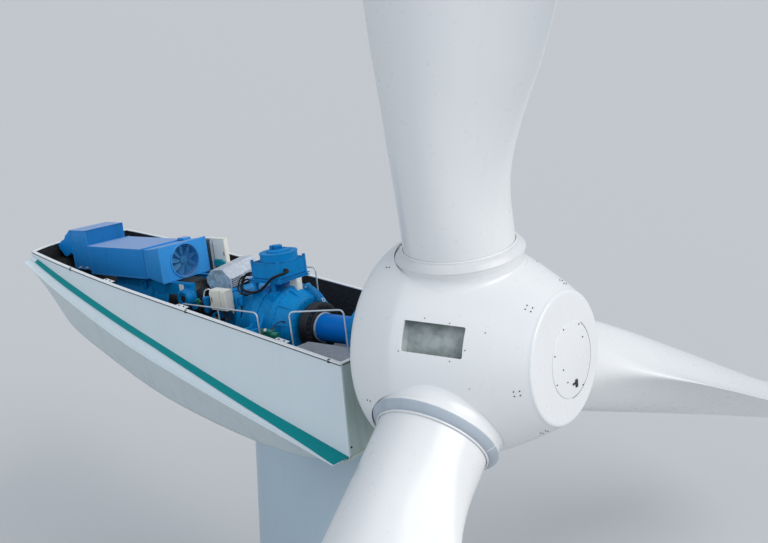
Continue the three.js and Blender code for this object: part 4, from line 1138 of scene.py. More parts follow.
def spinner_nose():
    """Round cover on the nose with its bolts, finger hole and latch."""
    there = DRIVE @ at((SPINNER["nose"], NOSE_HATCH["y"], NOSE_HATCH["h"])) @ ALONG
    r = NOSE_HATCH["r"]
    profile = [(r, 0.0003), (r, 0.008), (r - 0.005, 0.0125), (r - 0.012, 0.014), (0, 0.0145)]
    cover = Shape(there).lathe(profile, segments=144)
    cover.make("nose_cover", "gel_coat", "rotor", nodes=["nose_hatch"], angle=25)
    # The black tube along part of the cover's edge is a painted shadow in the gap on the far side of the
    # raised cover.
    turns = [radians(-95 + 150 * i / 48) for i in range(49)]
    arc = [((r + 0.007) * -sin(t), (r + 0.007) * cos(t), 0.0045) for t in turns]
    Shape(there).tube(arc, 0.006, 6).make("nose_cover_shadow_line", "black_rubber", "rotor")
    spots = Shape()
    a = SPINNER["nose"] + 0.014
    for y, h in ((-0.08, 0.51), (0.53, 0.21), (-0.41, 0.16), (-0.17, -0.14), (-0.4, -0.32), (-0.06, -0.39),
            (0.44, -0.6), (0.43, 0.46)):
        spots.bolt(at((a, y, h)) @ ALONG, 0.022, washer=False)
    spots.box((a - 0.002, 0.1, -0.5), (a + 0.012, 0.24, -0.465))
    spots.box((a - 0.002, 0.19, -0.56), (a + 0.02, 0.25, -0.43))
    spots.make("nose_cover_fasteners", "dark_bolt", "rotor")


def spinner_fasteners():
    """Bolts round the opening and the groups of bolts beside each blade."""
    spots = []
    for k in range(3):
        for a, angle in ((1.677, 34.5), (1.667, 99.7)):
            spots += [(a + da, angle + 120 * k + turn, 0.02) for da in (-0.04, 0.04) for turn in (-1.8, 1.8)]
        for a, angle in ((-0.757, 102.4), (-0.719, 34.6)):
            spots += [(a + da, angle + 120 * k, 0.02) for da in (-0.035, 0.035)]
        spots += [(1.04, angle + 120 * k, 0.016) for angle in (14.3, -26.6)]
    opening = ((0.325, 58.3), (0.708, 58.5), (-0.019, 75.2), (0.778, 78.1), (0.985, 71.5), (1.227, 59.9))
    spots += [(a, angle, 0.017) for a, angle in opening]
    shape = Shape()
    for a, angle, size in spots:
        r, t = spinner_radius(a), radians(angle)
        slope = (spinner_radius(a + 0.01) - spinner_radius(a - 0.01)) / 0.02
        place = Vector((a, -r * sin(t), r * cos(t)))
        shape.bolt(turn_to((-slope, -sin(t), cos(t)), place), size, washer=False)
    shape.make("spinner_bolts", "dark_bolt", "rotor")


class BuildSpinner(bpy.types.Operator):
    """Spinner shell with its collars, side opening, nose cover and fasteners"""
    bl_idname = "nacelle.spinner"
    bl_label = "Spinner"

    def execute(self, context):
        spinner_shell()
        for k in range(3):
            spinner_collar(k)
        spinner_tray()
        spinner_nose()
        spinner_fasteners()
        dress("gel_coat", "spinner_bulkhead")
        dress("frame_grey", "hub_casting")
        dress("turned_steel", "blade_bearing_1", "blade_bearing_2", "blade_bearing_3")
        return {"FINISHED"}


def blade_section(s):
    """Outline of a blade at a distance from the hub: a circle at its root, a wing section further out."""
    leading, trailing = eased(LEADING, s), eased(TRAILING, s)
    half, roundness = eased(THICKNESS, s) / 2, eased(ROUNDNESS, s)
    edge = 0.012 / (2 * half)
    turns = [pi / 2 + pi * i / 28 for i in range(29)]
    points = [(leading * cos(t), half * sin(t)) for t in turns]
    steps = 22
    for side in (-1, 1):
        flank = []
        for i in range(1, steps + 1):
            u = sin(pi / 2 * i / (steps + 0.3))
            ellipse = sqrt(1 - u * u)
            wedge = 0.5 * (1 + cos(pi * u**1.15)) * (1 - edge) + edge
            flank.append((trailing * u, side * half * (ellipse * roundness + wedge * (1 - roundness))))
        points.extend(flank if side < 0 else flank[::-1])
    twist, sweep = radians(eased(TWIST, s)), eased(SWEEP, s)
    c, n = cos(twist), sin(twist)
    return [(x * c - y * n, x * n + y * c + sweep, s) for x, y in points]


class BuildBlades(bpy.types.Operator):
    """The three blade sections"""
    bl_idname = "nacelle.blades"
    bl_label = "Blades"

    def execute(self, context):
        for k in range(3):
            places = [BLADE_START + (BLADE_END - BLADE_START) * i / 60 for i in range(61)]
            shape = Shape(blade_frame(k)).rings([blade_section(s) for s in places])
            body = f"blade_{k + 1}"
            shape.make(f"blade_skin_{k + 1}", "gel_coat", body, nodes=[body], angle=60)
        return {"FINISHED"}


# Shaft and gearbox

def bent(points, radius, steps=5):
    """A line whose corners are rounded, as bent tube has them."""
    points = [Vector(point) for point in points]
    line = [points[0]]
    for before, corner, after in zip(points, points[1:], points[2:]):
        back, ahead = before - corner, after - corner
        reach = min(radius, back.length * 0.49, ahead.length * 0.49)
        start, end = corner + back.normalized() * reach, corner + ahead.normalized() * reach
        for i in range(steps + 1):
            t = i / steps
            line.append(start.lerp(corner, t).lerp(corner.lerp(end, t), t))
    return line + [points[-1]]


def bored(shape, half_y, half_h, r, z0, z1, where=WORLD, segments=96):
    """A square block round a round bore."""
    inner = circle(r, segments)
    outer = []
    for c, s in circle(1, segments):
        reach = min(half_y / max(1e-6, abs(s)), half_h / max(1e-6, abs(c)))
        outer.append((reach * c, reach * s))
    rows = [(outer, z0), (outer, z1), (inner, z1), (inner, z0)]
    shape.rings([[(x, y, z) for x, y in line] for line, z in rows], where, looped=True)


def soft_box(shape, low, high, r, step):
    """A casting's block, whose corners along the shaft and end faces are rounded."""
    (a0, y0, h0), (a1, y1, h1) = low, high
    corners = [(y1 - r, h1 - r), (y0 + r, h1 - r), (y0 + r, h0 + r), (y1 - r, h0 + r)]
    rings = []
    for a, inset in ((a0, step), (a0 + step * 0.4, step * 0.3), (a0 + step, 0.0), (a1 - step, 0.0),
            (a1 - step * 0.4, step * 0.3), (a1, step)):
        rings.append([(a, y, h) for y, h in rounded(corners, r - inset, 5)])
    shape.rings(rings)


def shaft_bearing():
    shape = Shape().lathe([(0.321, -2.47), (0.5, -2.47), (0.54, -2.46), (0.56, -2.43), (0.56, -1.99),
        (0.54, -1.96), (0.5, -1.95), (0.321, -1.95)], ALONG, 96, closed=True)
    shape.ring(0.321, 0.45, -1.951, -1.93, ALONG)
    shape.ring(0.321, 0.45, -2.49, -2.469, ALONG)
    half = [(0.88, -0.6397), (0.88, -0.56), (0.66, -0.5), (0.56, -0.34)]
    outline = half + [(-y, h) for y, h in half[::-1]]
    shape.plate(outline, -2.44, -1.98)
    for side in (-1, 1):
        shape.box((-2.4, side * 0.52, -0.09), (-2.02, side * 0.64, 0.09))
        shape.bolt_row((-2.33, side * 0.6, 0.09), (-2.09, side * 0.6, 0.09), 2, (0, 0, 1), 0.06)
        shape.bolt_row((-2.35, side * 0.8, -0.545), (-2.07, side * 0.8, -0.545), 3, (side * 0.2, 0, 1), 0.06)
        shape.rings([[(a, side * y, h) for y, h in ((0.5, -0.3), (0.8, -0.52), (0.5, -0.52))]
            for a in (-2.24, -2.18)])
    shape.bolt_ring(0.41, -1.93, 20, ALONG, 0.036)
    shape.bolt_ring(0.41, -2.49, 20, ALONG, 0.036, down=True)
    shape.lathe([(0.05, 0.54), (0.05, 0.62), (0.035, 0.64), (0, 0.64)], at((-2.2, 0, 0)), 24)
    shape.make("front_bearing", "casting_blue", edge=sizes().casting_edge, nodes=["main_bearing_housing"])


class BuildShaft(bpy.types.Operator):
    """Main shaft, its shrink disc and the front bearing's housing"""
    bl_idname = "nacelle.shaft"
    bl_label = "Main shaft"

    def execute(self, context):
        shaft = Shape()
        profile = [(0, -3.8595), (0.28, -3.8595), (0.28, -2.5), (0.3, -2.49), (0.3, -1.9)]
        flare = [(0.3, -1.9), (0.325, -1.72), (0.38, -1.55), (0.47, -1.42), (0.58, -1.345), (0.64, -1.33)]
        profile += [tuple(point) for point in spline(flare, 16)[1:]]
        profile += [(0.64, -1.215), (0.635, -1.21), (0, -1.21)]
        shaft.lathe(profile, ALONG, 96)
        shaft.bolt_ring(0.61, -1.33, 36, ALONG, 0.05, down=True)
        shaft.make("shaft", "shaft_blue", "rotor", nodes=["main_shaft"])
        ring = Shape().lathe([(0.279, -3.574), (0.3, -3.574), (0.308, -3.566), (0.308, -3.538), (0.3, -3.53),
            (0.279, -3.53)], ALONG, 96, closed=True)
        ring.make("shaft_ring", "galvanised_tube", "rotor")
        disc = Shape().lathe([(0.2803, -3.8), (0.47, -3.8), (0.5, -3.785), (0.5, -3.715), (0.488, -3.71),
            (0.488, -3.67), (0.5, -3.665), (0.5, -3.595), (0.47, -3.58), (0.36, -3.58), (0.35, -3.572),
            (0.31, -3.572), (0.3, -3.58), (0.2803, -3.58)], ALONG, 96, closed=True)
        disc.bolt_ring(0.425, -3.58, 24, ALONG, 0.046)
        disc.make("clamping_disc", "black_steel", "rotor", edge=0.003, nodes=["shrink_disc"])
        shaft_bearing()
        return {"FINISHED"}


def gearbox_case():
    shape = Shape().lathe([(0, -5.42), (0.7, -5.42), (0.745, -5.4), (0.76, -5.36), (0.76, -4.94),
        (0.775, -4.905), (0.83, -4.89), (0.83, -4.8), (0.822, -4.795), (0.83, -4.79), (0.83, -4.7),
        (0.795, -4.69), (0.78, -4.66), (0.78, -4.35), (0.795, -4.32), (0.83, -4.31), (0.83, -4.26),
        (0.822, -4.255), (0.83, -4.25), (0.83, -4.2), (0.785, -4.185), (0.75, -4.13), (0.66, -3.95),
        (0.63, -3.92), (0.63, -3.88), (0.6, -3.86), (0.52, -3.86), (0.51, -3.87), (0, -3.87)], ALONG, 120)
    for r, a, count, back in ((0.808, -4.7, 44, False), (0.808, -4.2, 44, False), (0.808, -4.31, 44, True),
            (0.808, -4.89, 44, True), (0.57, -3.86, 24, False)):
        shape.bolt_ring(r, a, count, ALONG, 0.034, down=back)
    for i in range(12):
        turn = turned(i + 0.5, 12)
        shape.rings([[(a, y, h) for a, h in ((-4.2, 0.76), (-4.2, 0.815), (-4.12, 0.79), (-3.94, 0.665),
            (-3.94, 0.6))] for y in (-0.014, 0.014)], turn)
    shape.make("gearbox_rings", "casting_blue", edge=0.006, nodes=["gearbox_case"])
    rear = Shape()
    soft_box(rear, (-6.12, -0.59, -0.53), (-5.36, 0.73, 0.67), 0.12, 0.05)
    soft_box(rear, (-5.84, -0.62, -0.56), (-5.78, 0.76, 0.7), 0.13, 0.006)
    soft_box(rear, (-5.44, -0.62, -0.56), (-5.38, 0.76, 0.7), 0.13, 0.006)
    for h in (-0.4, -0.2, 0.0, 0.2):
        rear.bolt_row((-5.78, -0.605, h), (-5.78, -0.605, h), 1, (1, 0, 0), 0.03)
    rear.bolt_row((-5.78, -0.5, 0.685), (-5.78, 0.62, 0.685), 10, (1, 0, 0), 0.03)
    rear.box((-5.74, -0.3, 0.66), (-5.48, 0.2, 0.7))
    for y in (-0.27, 0.17):
        rear.bolt_row((-5.71, y, 0.7), (-5.51, y, 0.7), 3, (0, 0, 1), 0.026)
    for y, h, r in ((0.35, 0.27, 0.24), (-0.2, 0.1, 0.3), (-0.15, -0.32, 0.12)):
        spot = at((-6.12, y, h)) @ Matrix.Rotation(-pi / 2, 4, "Y")
        rear.lathe([(r, -0.01), (r, 0.02), (r - 0.01, 0.03), (r - 0.05, 0.03), (r - 0.06, 0.02), (0, 0.02)],
            spot, 48)
        rear.bolt_ring(r - 0.028, 0.03, 12, spot, 0.026)
    for a in (-6.05, -5.95):
        rear.rod(0.03, 0.66, 0.73, at((a, 0.5, 0)))
    rear.make("gearbox_rear_stage", "casting_blue", edge=0.005)


def gearbox_arms():
    arms = Shape()
    outline = [(0.52, -0.18), (1.06, -0.18), (1.06, 0.09), (1.02, 0.14), (0.84, 0.14), (0.7, 0.36),
        (0.52, 0.5)]
    for side, word in ((-1, "near"), (1, "far")):
        for a0, a1 in ((-4.84, -4.76), (-4.59, -4.51)):
            arms.rings([[(a, side * y, h) for y, h in outline] for a in (a0, a1)])
        arms.box((-4.78, side * 0.6, -0.18), (-4.57, side * 1.06, 0.1))
        for y in (0.88, 1.0):
            arms.bolt_row((-4.73, side * y, 0.1), (-4.62, side * y, 0.1), 2, (0, 0, 1), 0.05)
        mount = Shape()
        middle = side * 0.94
        for i in range(3):
            low = -0.2618 + i * 0.0272
            mount.box((-4.79, middle - 0.1, low), (-4.56, middle + 0.1, low + 0.019))
            mount.slot = 1
            mount.box((-4.8, middle - 0.11, low + 0.019), (-4.55, middle + 0.11, low + 0.0272))
            mount.slot = 0
        mount.make(f"rubber_mount_{word}", ("black_rubber", "bolt_steel"), edge=0.003,
            nodes=[f"torque_mount_{word}"])
    arms.make("torque_arms", "casting_blue", edge=sizes().casting_edge)


def gearbox_lifting_arm():
    """Two cheeks with a web, and a pin at each end."""
    shape = Shape()
    outline = [(-4.14, 0.6), (-4.135, 0.78), (-4.105, 0.825), (-4.05, 0.84), (-4.0, 0.815), (-3.69, 0.56),
        (-3.665, 0.525), (-3.68, 0.497), (-3.72, 0.495), (-3.88, 0.6), (-3.95, 0.6)]
    for y0, y1 in ((0.15, 0.166), (0.194, 0.21)):
        shape.plate(outline, y0, y1, 1)
    web = [(-4.12, 0.62), (-4.11, 0.79), (-4.01, 0.8), (-3.76, 0.59), (-3.76, 0.54), (-3.88, 0.63)]
    shape.plate(web, 0.165, 0.195, 1)
    for a, h, r in ((-4.07, 0.775, 0.06), (-3.7, 0.525, 0.032)):
        shape.ring(r * 0.45, r, -0.055, 0.055, at((a, 0.18, h)) @ turn_to((0, 1, 0)), 32)
    shape.make("brow_arm", "arm_blue", edge=0.004, nodes=["lifting_arm"])
    hook = Shape().ring(0.024, 0.04, -0.008, 0.008, at((-3.66, 0.18, 0.51)) @ turn_to((1, 0, 0.6)), 24)
    hook.rod(0.022, -0.06, 0.06, at((-4.07, 0.18, 0.775)) @ turn_to((0, 1, 0)))
    hook.make("arm_pins", "galvanised_tube", edge=0.002)


def gearbox_sensor_box():
    shape = Shape().box((-4.325, -0.055, 0.7), (-4.115, 0.085, 0.955))
    shape.box((-4.33, -0.06, 0.955), (-4.11, 0.09, 0.985))
    shape.box((-4.112, -0.035, 0.76), (-4.106, 0.065, 0.92))
    for h in (0.775, 0.905):
        shape.bolt_row((-4.107, -0.022, h), (-4.107, 0.052, h), 2, (1, 0, 0), 0.014)
    shape.make("sensor_housing", "cabinet_white", edge=0.006, nodes=["sensor_box"])
    cables = Shape()
    for y in (-0.02, 0.02, 0.06):
        cables.tube(bent([(-4.22, y - 0.02, 0.8), (-4.22, -0.12, 0.8), (-4.22, -0.2 - y, 0.78),
            (-4.25, -0.3 - y, 0.72)], 0.05), 0.009, 6)
    cables.make("sensor_cables", "black_rubber")


def gearbox_oil_lines():
    """Filter, valve and pipes on the gearbox's near side."""
    can = Shape()
    for a, y, low, high, r in ((-6.24, -0.74, 0.28, 0.63, 0.07), (-5.2, -0.66, 0.5, 0.72, 0.05)):
        can.lathe([(0, low), (r * 0.7, low), (r, low + 0.03), (r, high - 0.05), (r * 1.15, high - 0.045),
            (r * 1.15, high - 0.015), (r * 0.9, high), (0, high)], at((a, y, 0)), 32)
    can.make("oil_filters", "generator_blue", edge=0.002)
    valve = Shape().rod(0.045, 0.42, 0.56, at((-6.52, -0.74, 0)))
    valve.rod(0.03, -0.09, 0.09, at((-6.52, -0.74, 0.5)) @ turn_to((1, 0, 0)))
    valve.make("oil_valve", "pump_green", edge=0.004)
    pipes = Shape()
    for line, r in (([(-6.52, -0.74, 0.42), (-6.52, -0.74, 0.1), (-6.1, -0.7, 0.0), (-5.9, -0.66, -0.1)],
            0.02), ([(-6.3, -0.72, 0.3), (-6.3, -0.72, 0.12), (-5.95, -0.68, 0.12), (-5.95, -0.6, 0.12)],
            0.018), ([(-6.43, -0.74, 0.5), (-6.3, -0.74, 0.5), (-6.3, -0.73, 0.5)], 0.018),
            ([(-3.9, -1.1, 0.22), (-3.9, -1.0, 0.3), (-3.98, -0.78, 0.3), (-4.0, -0.6, 0.24)], 0.012),
            ([(-5.2, -0.66, 0.5), (-5.2, -0.7, 0.3), (-5.35, -0.72, 0.1), (-5.5, -0.66, 0.0)], 0.016)):
        pipes.tube(bent(line, 0.08), r, 10)
        for end, near in ((line[0], line[1]), (line[-1], line[-2])):
            way = Vector(near) - Vector(end)
            pipes.lathe([(r * 1.6, -0.01), (r * 1.6, 0.05), (r * 1.2, 0.06)], turn_to(way, end), 6)
    pipes.make("oil_pipes", "black_steel")


class BuildGearbox(bpy.types.Operator):
    """Gearbox casting with its flanges, ribs, arms and mounts, the lifting arm, and what sits on it"""
    bl_idname = "nacelle.gearbox"
    bl_label = "Gearbox"

    def execute(self, context):
        gearbox_case()
        gearbox_arms()
        gearbox_lifting_arm()
        gearbox_sensor_box()
        gearbox_oil_lines()
        return {"FINISHED"}


# Cooling

def oil_cooler_motor(middle):
    shape = Shape().lathe([(0, 1.5803), (0.1, 1.5803), (0.1, 1.59), (0.084, 1.594), (0.084, 1.645),
        (0.09, 1.65), (0.09, 1.662), (0.075, 1.67), (0, 1.67)], middle, 48)
    for i in range(28):
        shape.box((0.08, -0.003, 1.597), (0.095, 0.003, 1.643), middle @ turned(i, 28, "Z"))
    shape.box((-0.17, -0.075, 1.585), (-0.085, 0.06, 1.66), middle)
    shape.make("oil_cooler_fan_motor", "cooler_blue", edge=0.003, nodes=["oil_cooler_motor"])


def oil_cooler_hose(front, back):
    route = [(front, -0.29, 1.21), (front + 0.07, -0.29, 1.21), (front + 0.135, -0.34, 1.208),
        (front + 0.14, -0.45, 1.195), (front + 0.06, -0.555, 1.165), (front - 0.08, -0.595, 1.11),
        (-4.37, -0.6, 1.02), (-4.51, -0.6, 0.92), (-4.66, -0.595, 0.835), (-4.83, -0.58, 0.785),
        (-5.06, -0.55, 0.77), (-5.27, -0.5, 0.79), (-5.37, -0.44, 0.86), (-5.37, -0.39, 0.97),
        (-5.29, -0.36, 1.07), (-5.16, -0.352, 1.115), (back - 0.07, -0.35, 1.125), (back, -0.35, 1.125)]
    hose = Shape().tube(spline(route, 120), 0.027, 14)
    hose.tube(spline([(-4.78, -0.64, 0.8), (-5.0, -0.63, 0.74), (-5.26, -0.58, 0.73), (-5.43, -0.5, 0.8),
        (-5.46, -0.42, 0.93), (-5.4, -0.36, 1.03), (-5.2, -0.32, 1.06), (back, -0.3, 1.06)], 60), 0.016, 10)
    hose.tube(spline([(-5.1, -0.56, 0.7), (-5.3, -0.5, 0.7), (-5.42, -0.42, 0.84), (-5.34, -0.34, 0.96),
        (-5.14, -0.3, 0.93), (-5.1, -0.3, 0.74)], 40), 0.02, 10)
    hose.make("oil_hose_line", "hose_rubber", nodes=["oil_hose"])
    ends = Shape()
    for (a, y, h), out in ((route[0], 1), (route[-1], -1)):
        spot = turn_to((out, 0, 0), (a, y, h))
        ends.lathe([(0.05, -0.01), (0.05, 0.012), (0.043, 0.014), (0.043, 0.03)], spot, 6)
        ends.lathe([(0.036, 0.03), (0.039, 0.034), (0.039, 0.065), (0.035, 0.07)], spot, 24)
    ends.make("hose_ends", "black_steel")


class BuildOilCooler(bpy.types.Operator):
    """Oil cooler on its legs, with its drum, motor and hose"""
    bl_idname = "nacelle.oil_cooler"
    bl_label = "Oil cooler"

    def execute(self, context):
        back, front, near, far, low, high = -4.945, -4.17, -0.47, 0.31, 1.0, 1.38
        shape = Shape().box((back, near, low + 0.065), (front, far, high))
        shape.box((back + 0.03, near + 0.03, low + 0.03), (front - 0.03, far - 0.03, low + 0.07))
        shape.box((back - 0.012, near - 0.012, high - 0.012), (front + 0.012, far + 0.012, high))
        for a in (back - 0.008, front - 0.037):
            for y in (near - 0.008, far - 0.037):
                shape.box((a, y, low), (a + 0.045, y + 0.045, high + 0.05))
        for h0, h1, inset in ((-0.02, -0.008, 0.0), (-0.01, 0.03, 0.03), (0.03, 0.045, 0.0)):
            shape.box((-5.03 + inset, -0.52 + inset, low + h0), (-4.13 - inset, 0.36 - inset, low + h1))
        bracket = ((-0.065, low), (0.065, low), (0.032, low - 0.12), (-0.032, low - 0.12))
        for a in (-4.93, -4.41):
            for y in (-0.43, 0.25):
                shape.box((a - 0.03, y - 0.03, 0.56), (a + 0.03, y + 0.03, low + 0.01))
                shape.box((a - 0.075, y - 0.075, 0.6), (a + 0.075, y + 0.075, 0.78))
                for side in (-0.036, 0.03):
                    shape.rings([[(a + da, y + side + dy, h) for da, h in bracket] for dy in (0.0, 0.008)])
        middle = at((-4.555, -0.045, 0))
        shape.lathe([(0.3, high - 0.01), (0.39, high - 0.01), (0.39, high + 0.012), (0.386, high + 0.016),
            (0.386, 1.51), (0.394, 1.515), (0.394, 1.538), (0.38, 1.543), (0.25, 1.543), (0.235, 1.535),
            (0.23, 1.575), (0.2, 1.59), (0.16, 1.594), (0.15, 1.585), (0, 1.58)], middle, 96)
        shape.bolt_row((back + 0.1, near - 0.001, low + 0.08), (front - 0.1, near - 0.001, low + 0.08), 6,
            (0, -1, 0), 0.016)
        shape.bolt_row((front + 0.001, near + 0.1, low + 0.08), (front + 0.001, far - 0.1, low + 0.08), 6,
            (1, 0, 0), 0.016)
        shape.make("oil_cooler_body", "cooler_blue", edge=0.004, nodes=["oil_cooler"])
        oil_cooler_motor(middle)
        oil_cooler_hose(front, back)
        return {"FINISHED"}


def generator_body():
    shape = Shape()
    there = at((0, 0, 0.27)) @ ALONG
    profile = [(0, -10.25), (0.36, -10.25), (0.42, -10.24), (0.5, -10.17), (0.52, -10.13)]
    for i in range(7):
        a = -10.05 + 2.5 * i / 6
        profile += [(0.52, a - 0.03), (0.54, a - 0.02), (0.54, a + 0.02), (0.52, a + 0.03)]
    shape.lathe(profile[:-4] + [(0.51, -7.9), (0, -7.9)], there, 96)
    shield = Shape().lathe([(0, -7.92), (0.5, -7.9), (0.53, -7.89), (0.53, -7.48), (0.48, -7.4),
        (0.36, -7.37), (0.3, -7.33), (0.3, -7.09), (0.29, -7.0603), (0, -7.0603)], there, 96)
    shield.bolt_ring(0.44, -7.385, 20, there, 0.034)
    shield.make("generator_end_shield", "black_steel", edge=0.006)
    shape.box((-10.1, -0.5, -0.2), (-7.55, 0.5, 0.2))
    for a in (-10.05, -7.9):
        shape.box((a, -0.52, -0.2997), (a + 0.25, 0.52, -0.15))
        for side in (-1, 1):
            foot = side * 0.515
            shape.bolt_row((a + 0.06, foot, -0.2), (a + 0.19, foot, -0.2), 2, (0, side, 0), 0.04)
    for side in (-1, 1):
        for i in range(9):
            a = -10.0 + 2.35 * i / 8
            shape.box((a - 0.012, side * 0.45, -0.19), (a + 0.012, side * 0.512, 0.19))
        shape.ring(0.025, 0.055, -0.012, 0.012, turn_to((0, side, 0), (-8.6, side * 0.41, 0.66)), 24)
    shape.box((-10.0, -0.4, 0.5), (-8.5, 0.4, 0.8497))
    for side in (-1, 1):
        for a0, a1, reach, low, high in ((-8.5, -7.09, 0.472, 0.22, 0.78), (-7.13, -7.07, 0.482, 0.2, 0.79),
                (-8.52, -8.47, 0.482, 0.2, 0.79), (-8.5, -7.1, 0.478, 0.745, 0.785)):
            shape.box((a0, side * 0.34, low), (a1, side * reach, high))
        shape.bolt_row((-7.07, side * 0.45, 0.26), (-7.07, side * 0.45, 0.76), 6, (1, 0, 0), 0.036)
        shape.bolt_row((-7.1, side * 0.482, 0.26), (-7.1, side * 0.482, 0.76), 6, (0, side, 0), 0.03)
    spot = turn_to((0, -1, 0), (-7.2, 0, 0.48))
    shape.lathe([(0, 0.42), (0.215, 0.42), (0.215, 0.5), (0.2, 0.51), (0.2, 0.6), (0.192, 0.615),
        (0.17, 0.64), (0.12, 0.64), (0.105, 0.622), (0, 0.622)], spot, 72)
    for i in range(8):
        shape.box((0.1, -0.012, 0.6), (0.19, 0.012, 0.648), spot @ turned(i, 8, "Z"))
    shape.bolt_ring(0.15, 0.64, 8, spot, 0.034, start=0.39)
    shape.ring(0.045, 0.085, -0.02, 0.02, turn_to((0.3, -1, 0), (-8.837, -0.46, 0.7)), 32)
    shape.box((-8.9, -0.47, 0.55), (-8.77, -0.38, 0.64))
    shape.make("generator_body", "generator_blue", edge=0.006, nodes=["generator"])
    Shape().rod(0.075, 0.621, 0.63, spot, 32).make("cover_centre", "black_rubber")
    plates = Shape().box((-7.47, -0.487, 0.59), (-7.31, -0.478, 0.76))
    plates.make("bare_plate", "cabinet_white", edge=0.003)


def generator_air_cooler():
    """Plain sheet housing, flanged at both ends, with a folded top and a small block on it."""
    back, front, half, low, high = -10.74, -8.47, 0.6, 0.85, 1.545
    shape = Shape().box((back, -half, low), (front, half, high - 0.004))
    for a0, a1 in ((back, back + 0.05), (front - 0.09, front)):
        shape.box((a0, -half - 0.008, low - 0.004), (a1, half + 0.008, high + 0.004))
    shape.box((front - 0.03, -half - 0.012, high), (front + 0.012, half + 0.012, high + 0.022))
    shape.box((back, -half - 0.006, low - 0.006), (front, half + 0.006, low + 0.024))
    shape.box((front - 0.02, 0.42, high), (front + 0.22, 0.62, high + 0.055))
    for side in (-1, 1):
        shape.bolt_row((back + 0.025, side * (half + 0.008), low + 0.06),
            (back + 0.025, side * (half + 0.008), high - 0.06), 6, (0, side, 0), 0.018)
    shape.make("air_cooler", "sheet_blue", edge=0.005, nodes=["generator_cooler"])


def generator_fan_box():
    """Flared hood whose face has a round well, with its rim, flange and ring guard."""
    middle, r, steps = 1.195, 0.372, 20
    rects = {"back": (0.58, 0.865, 1.525), "face": (0.66, 0.8, 1.6)}

    def outline(kind):
        half, low, high = rects[kind]
        corners = [(half, low), (half, high), (-half, high), (-half, low)]
        line = []
        for (y0, h0), (y1, h1) in zip(corners, corners[1:] + corners[:1]):
            line += [(y0 + (y1 - y0) * i / steps, h0 + (h1 - h0) * i / steps) for i in range(steps)]
        return line

    face = outline("face")

    def round_face(radius):
        turns = [atan2(h - middle, y) for y, h in face]
        return [(radius * cos(t), middle + radius * sin(t)) for t in turns]

    lip, well = round_face(r + 0.03), round_face(r)
    rows = [(outline("back"), -8.4697), (outline("back"), -8.43), (face, -7.8), (face, -7.76), (lip, -7.76),
        (lip, -7.735), (well, -7.735), (well, -7.96), (round_face(0.001), -7.96)]
    shape = Shape().rings([[(a, y, h) for y, h in line] for line, a in rows])
    for side in (-1, 1):
        shape.box((-7.81, side * 0.655, 0.79), (-7.762, side * 0.675, 1.61))
        shape.bolt_row((-7.76, side * 0.63, 0.84), (-7.76, side * 0.63, 1.56), 7, (1, 0, 0), 0.022)
    for h0, h1 in ((1.595, 1.612), (0.788, 0.805)):
        shape.box((-7.81, -0.675, h0), (-7.762, 0.675, h1))
    for h in (1.57, 0.83):
        shape.bolt_row((-7.76, -0.55, h), (-7.76, 0.55, h), 9, (1, 0, 0), 0.022)
    bored(shape, 0.59, 0.34, 0.3, -8.48, -8.45, at((0, 0, middle)) @ ALONG)
    shape.make("fan_hood", "fan_box_blue", edge=0.004, nodes=["fan_box"])
    guard = Shape()
    where = at((-7.738, 0, middle)) @ ALONG
    for radius in (0.1, 0.16, 0.22, 0.28, 0.34, 0.385):
        guard.tube([(x, y, 0) for x, y in circle(radius, 64)], 0.0035, 6, where, looped=True)
    for i in range(4):
        t = pi * i / 4 + 0.3
        ends = [(d * cos(t), d * sin(t), 0.005) for d in (-0.39, 0.39)]
        guard.tube(ends, 0.004, 6, where)
    guard.make("fan_guard", "guard_wire")


def generator_fan():
    """Cast fan whose blades twist from the hub to the tip."""
    there = DRIVE @ at((-7.845, 0, 1.195))
    shape = Shape(there).lathe([(0, -0.055), (0.085, -0.055), (0.095, -0.045), (0.095, 0.035), (0.085, 0.05),
        (0.06, 0.055), (0.035, 0.055), (0.03, 0.065), (0, 0.066)], ALONG, 48)
    shape.rod(0.02, -0.1145, 0.0, ALONG)
    for i in range(9):
        turn = turned(i, 9)
        rings = []
        for k in range(9):
            u = k / 8
            r = 0.085 + 0.245 * u
            chord, pitch = 0.09 + 0.05 * sin(pi * min(1.0, u * 0.75)), 0.85 - 0.4 * u
            ring = []
            for along, off in ((-0.5, 0.0), (-0.3, 0.006), (0.0, 0.009), (0.3, 0.006), (0.5, 0.0),
                    (0.3, -0.001), (0.0, 0.001), (-0.3, -0.001)):
                y, x = chord * along, off * 1.2
                ring.append((x * cos(pitch) - y * sin(pitch), x * sin(pitch) + y * cos(pitch), r))
            rings.append(ring)
        shape.rings(rings, turn)
    shape.make("fan_wheel", "fan_blades", "cooler_fan", nodes=["cooler_fan"])


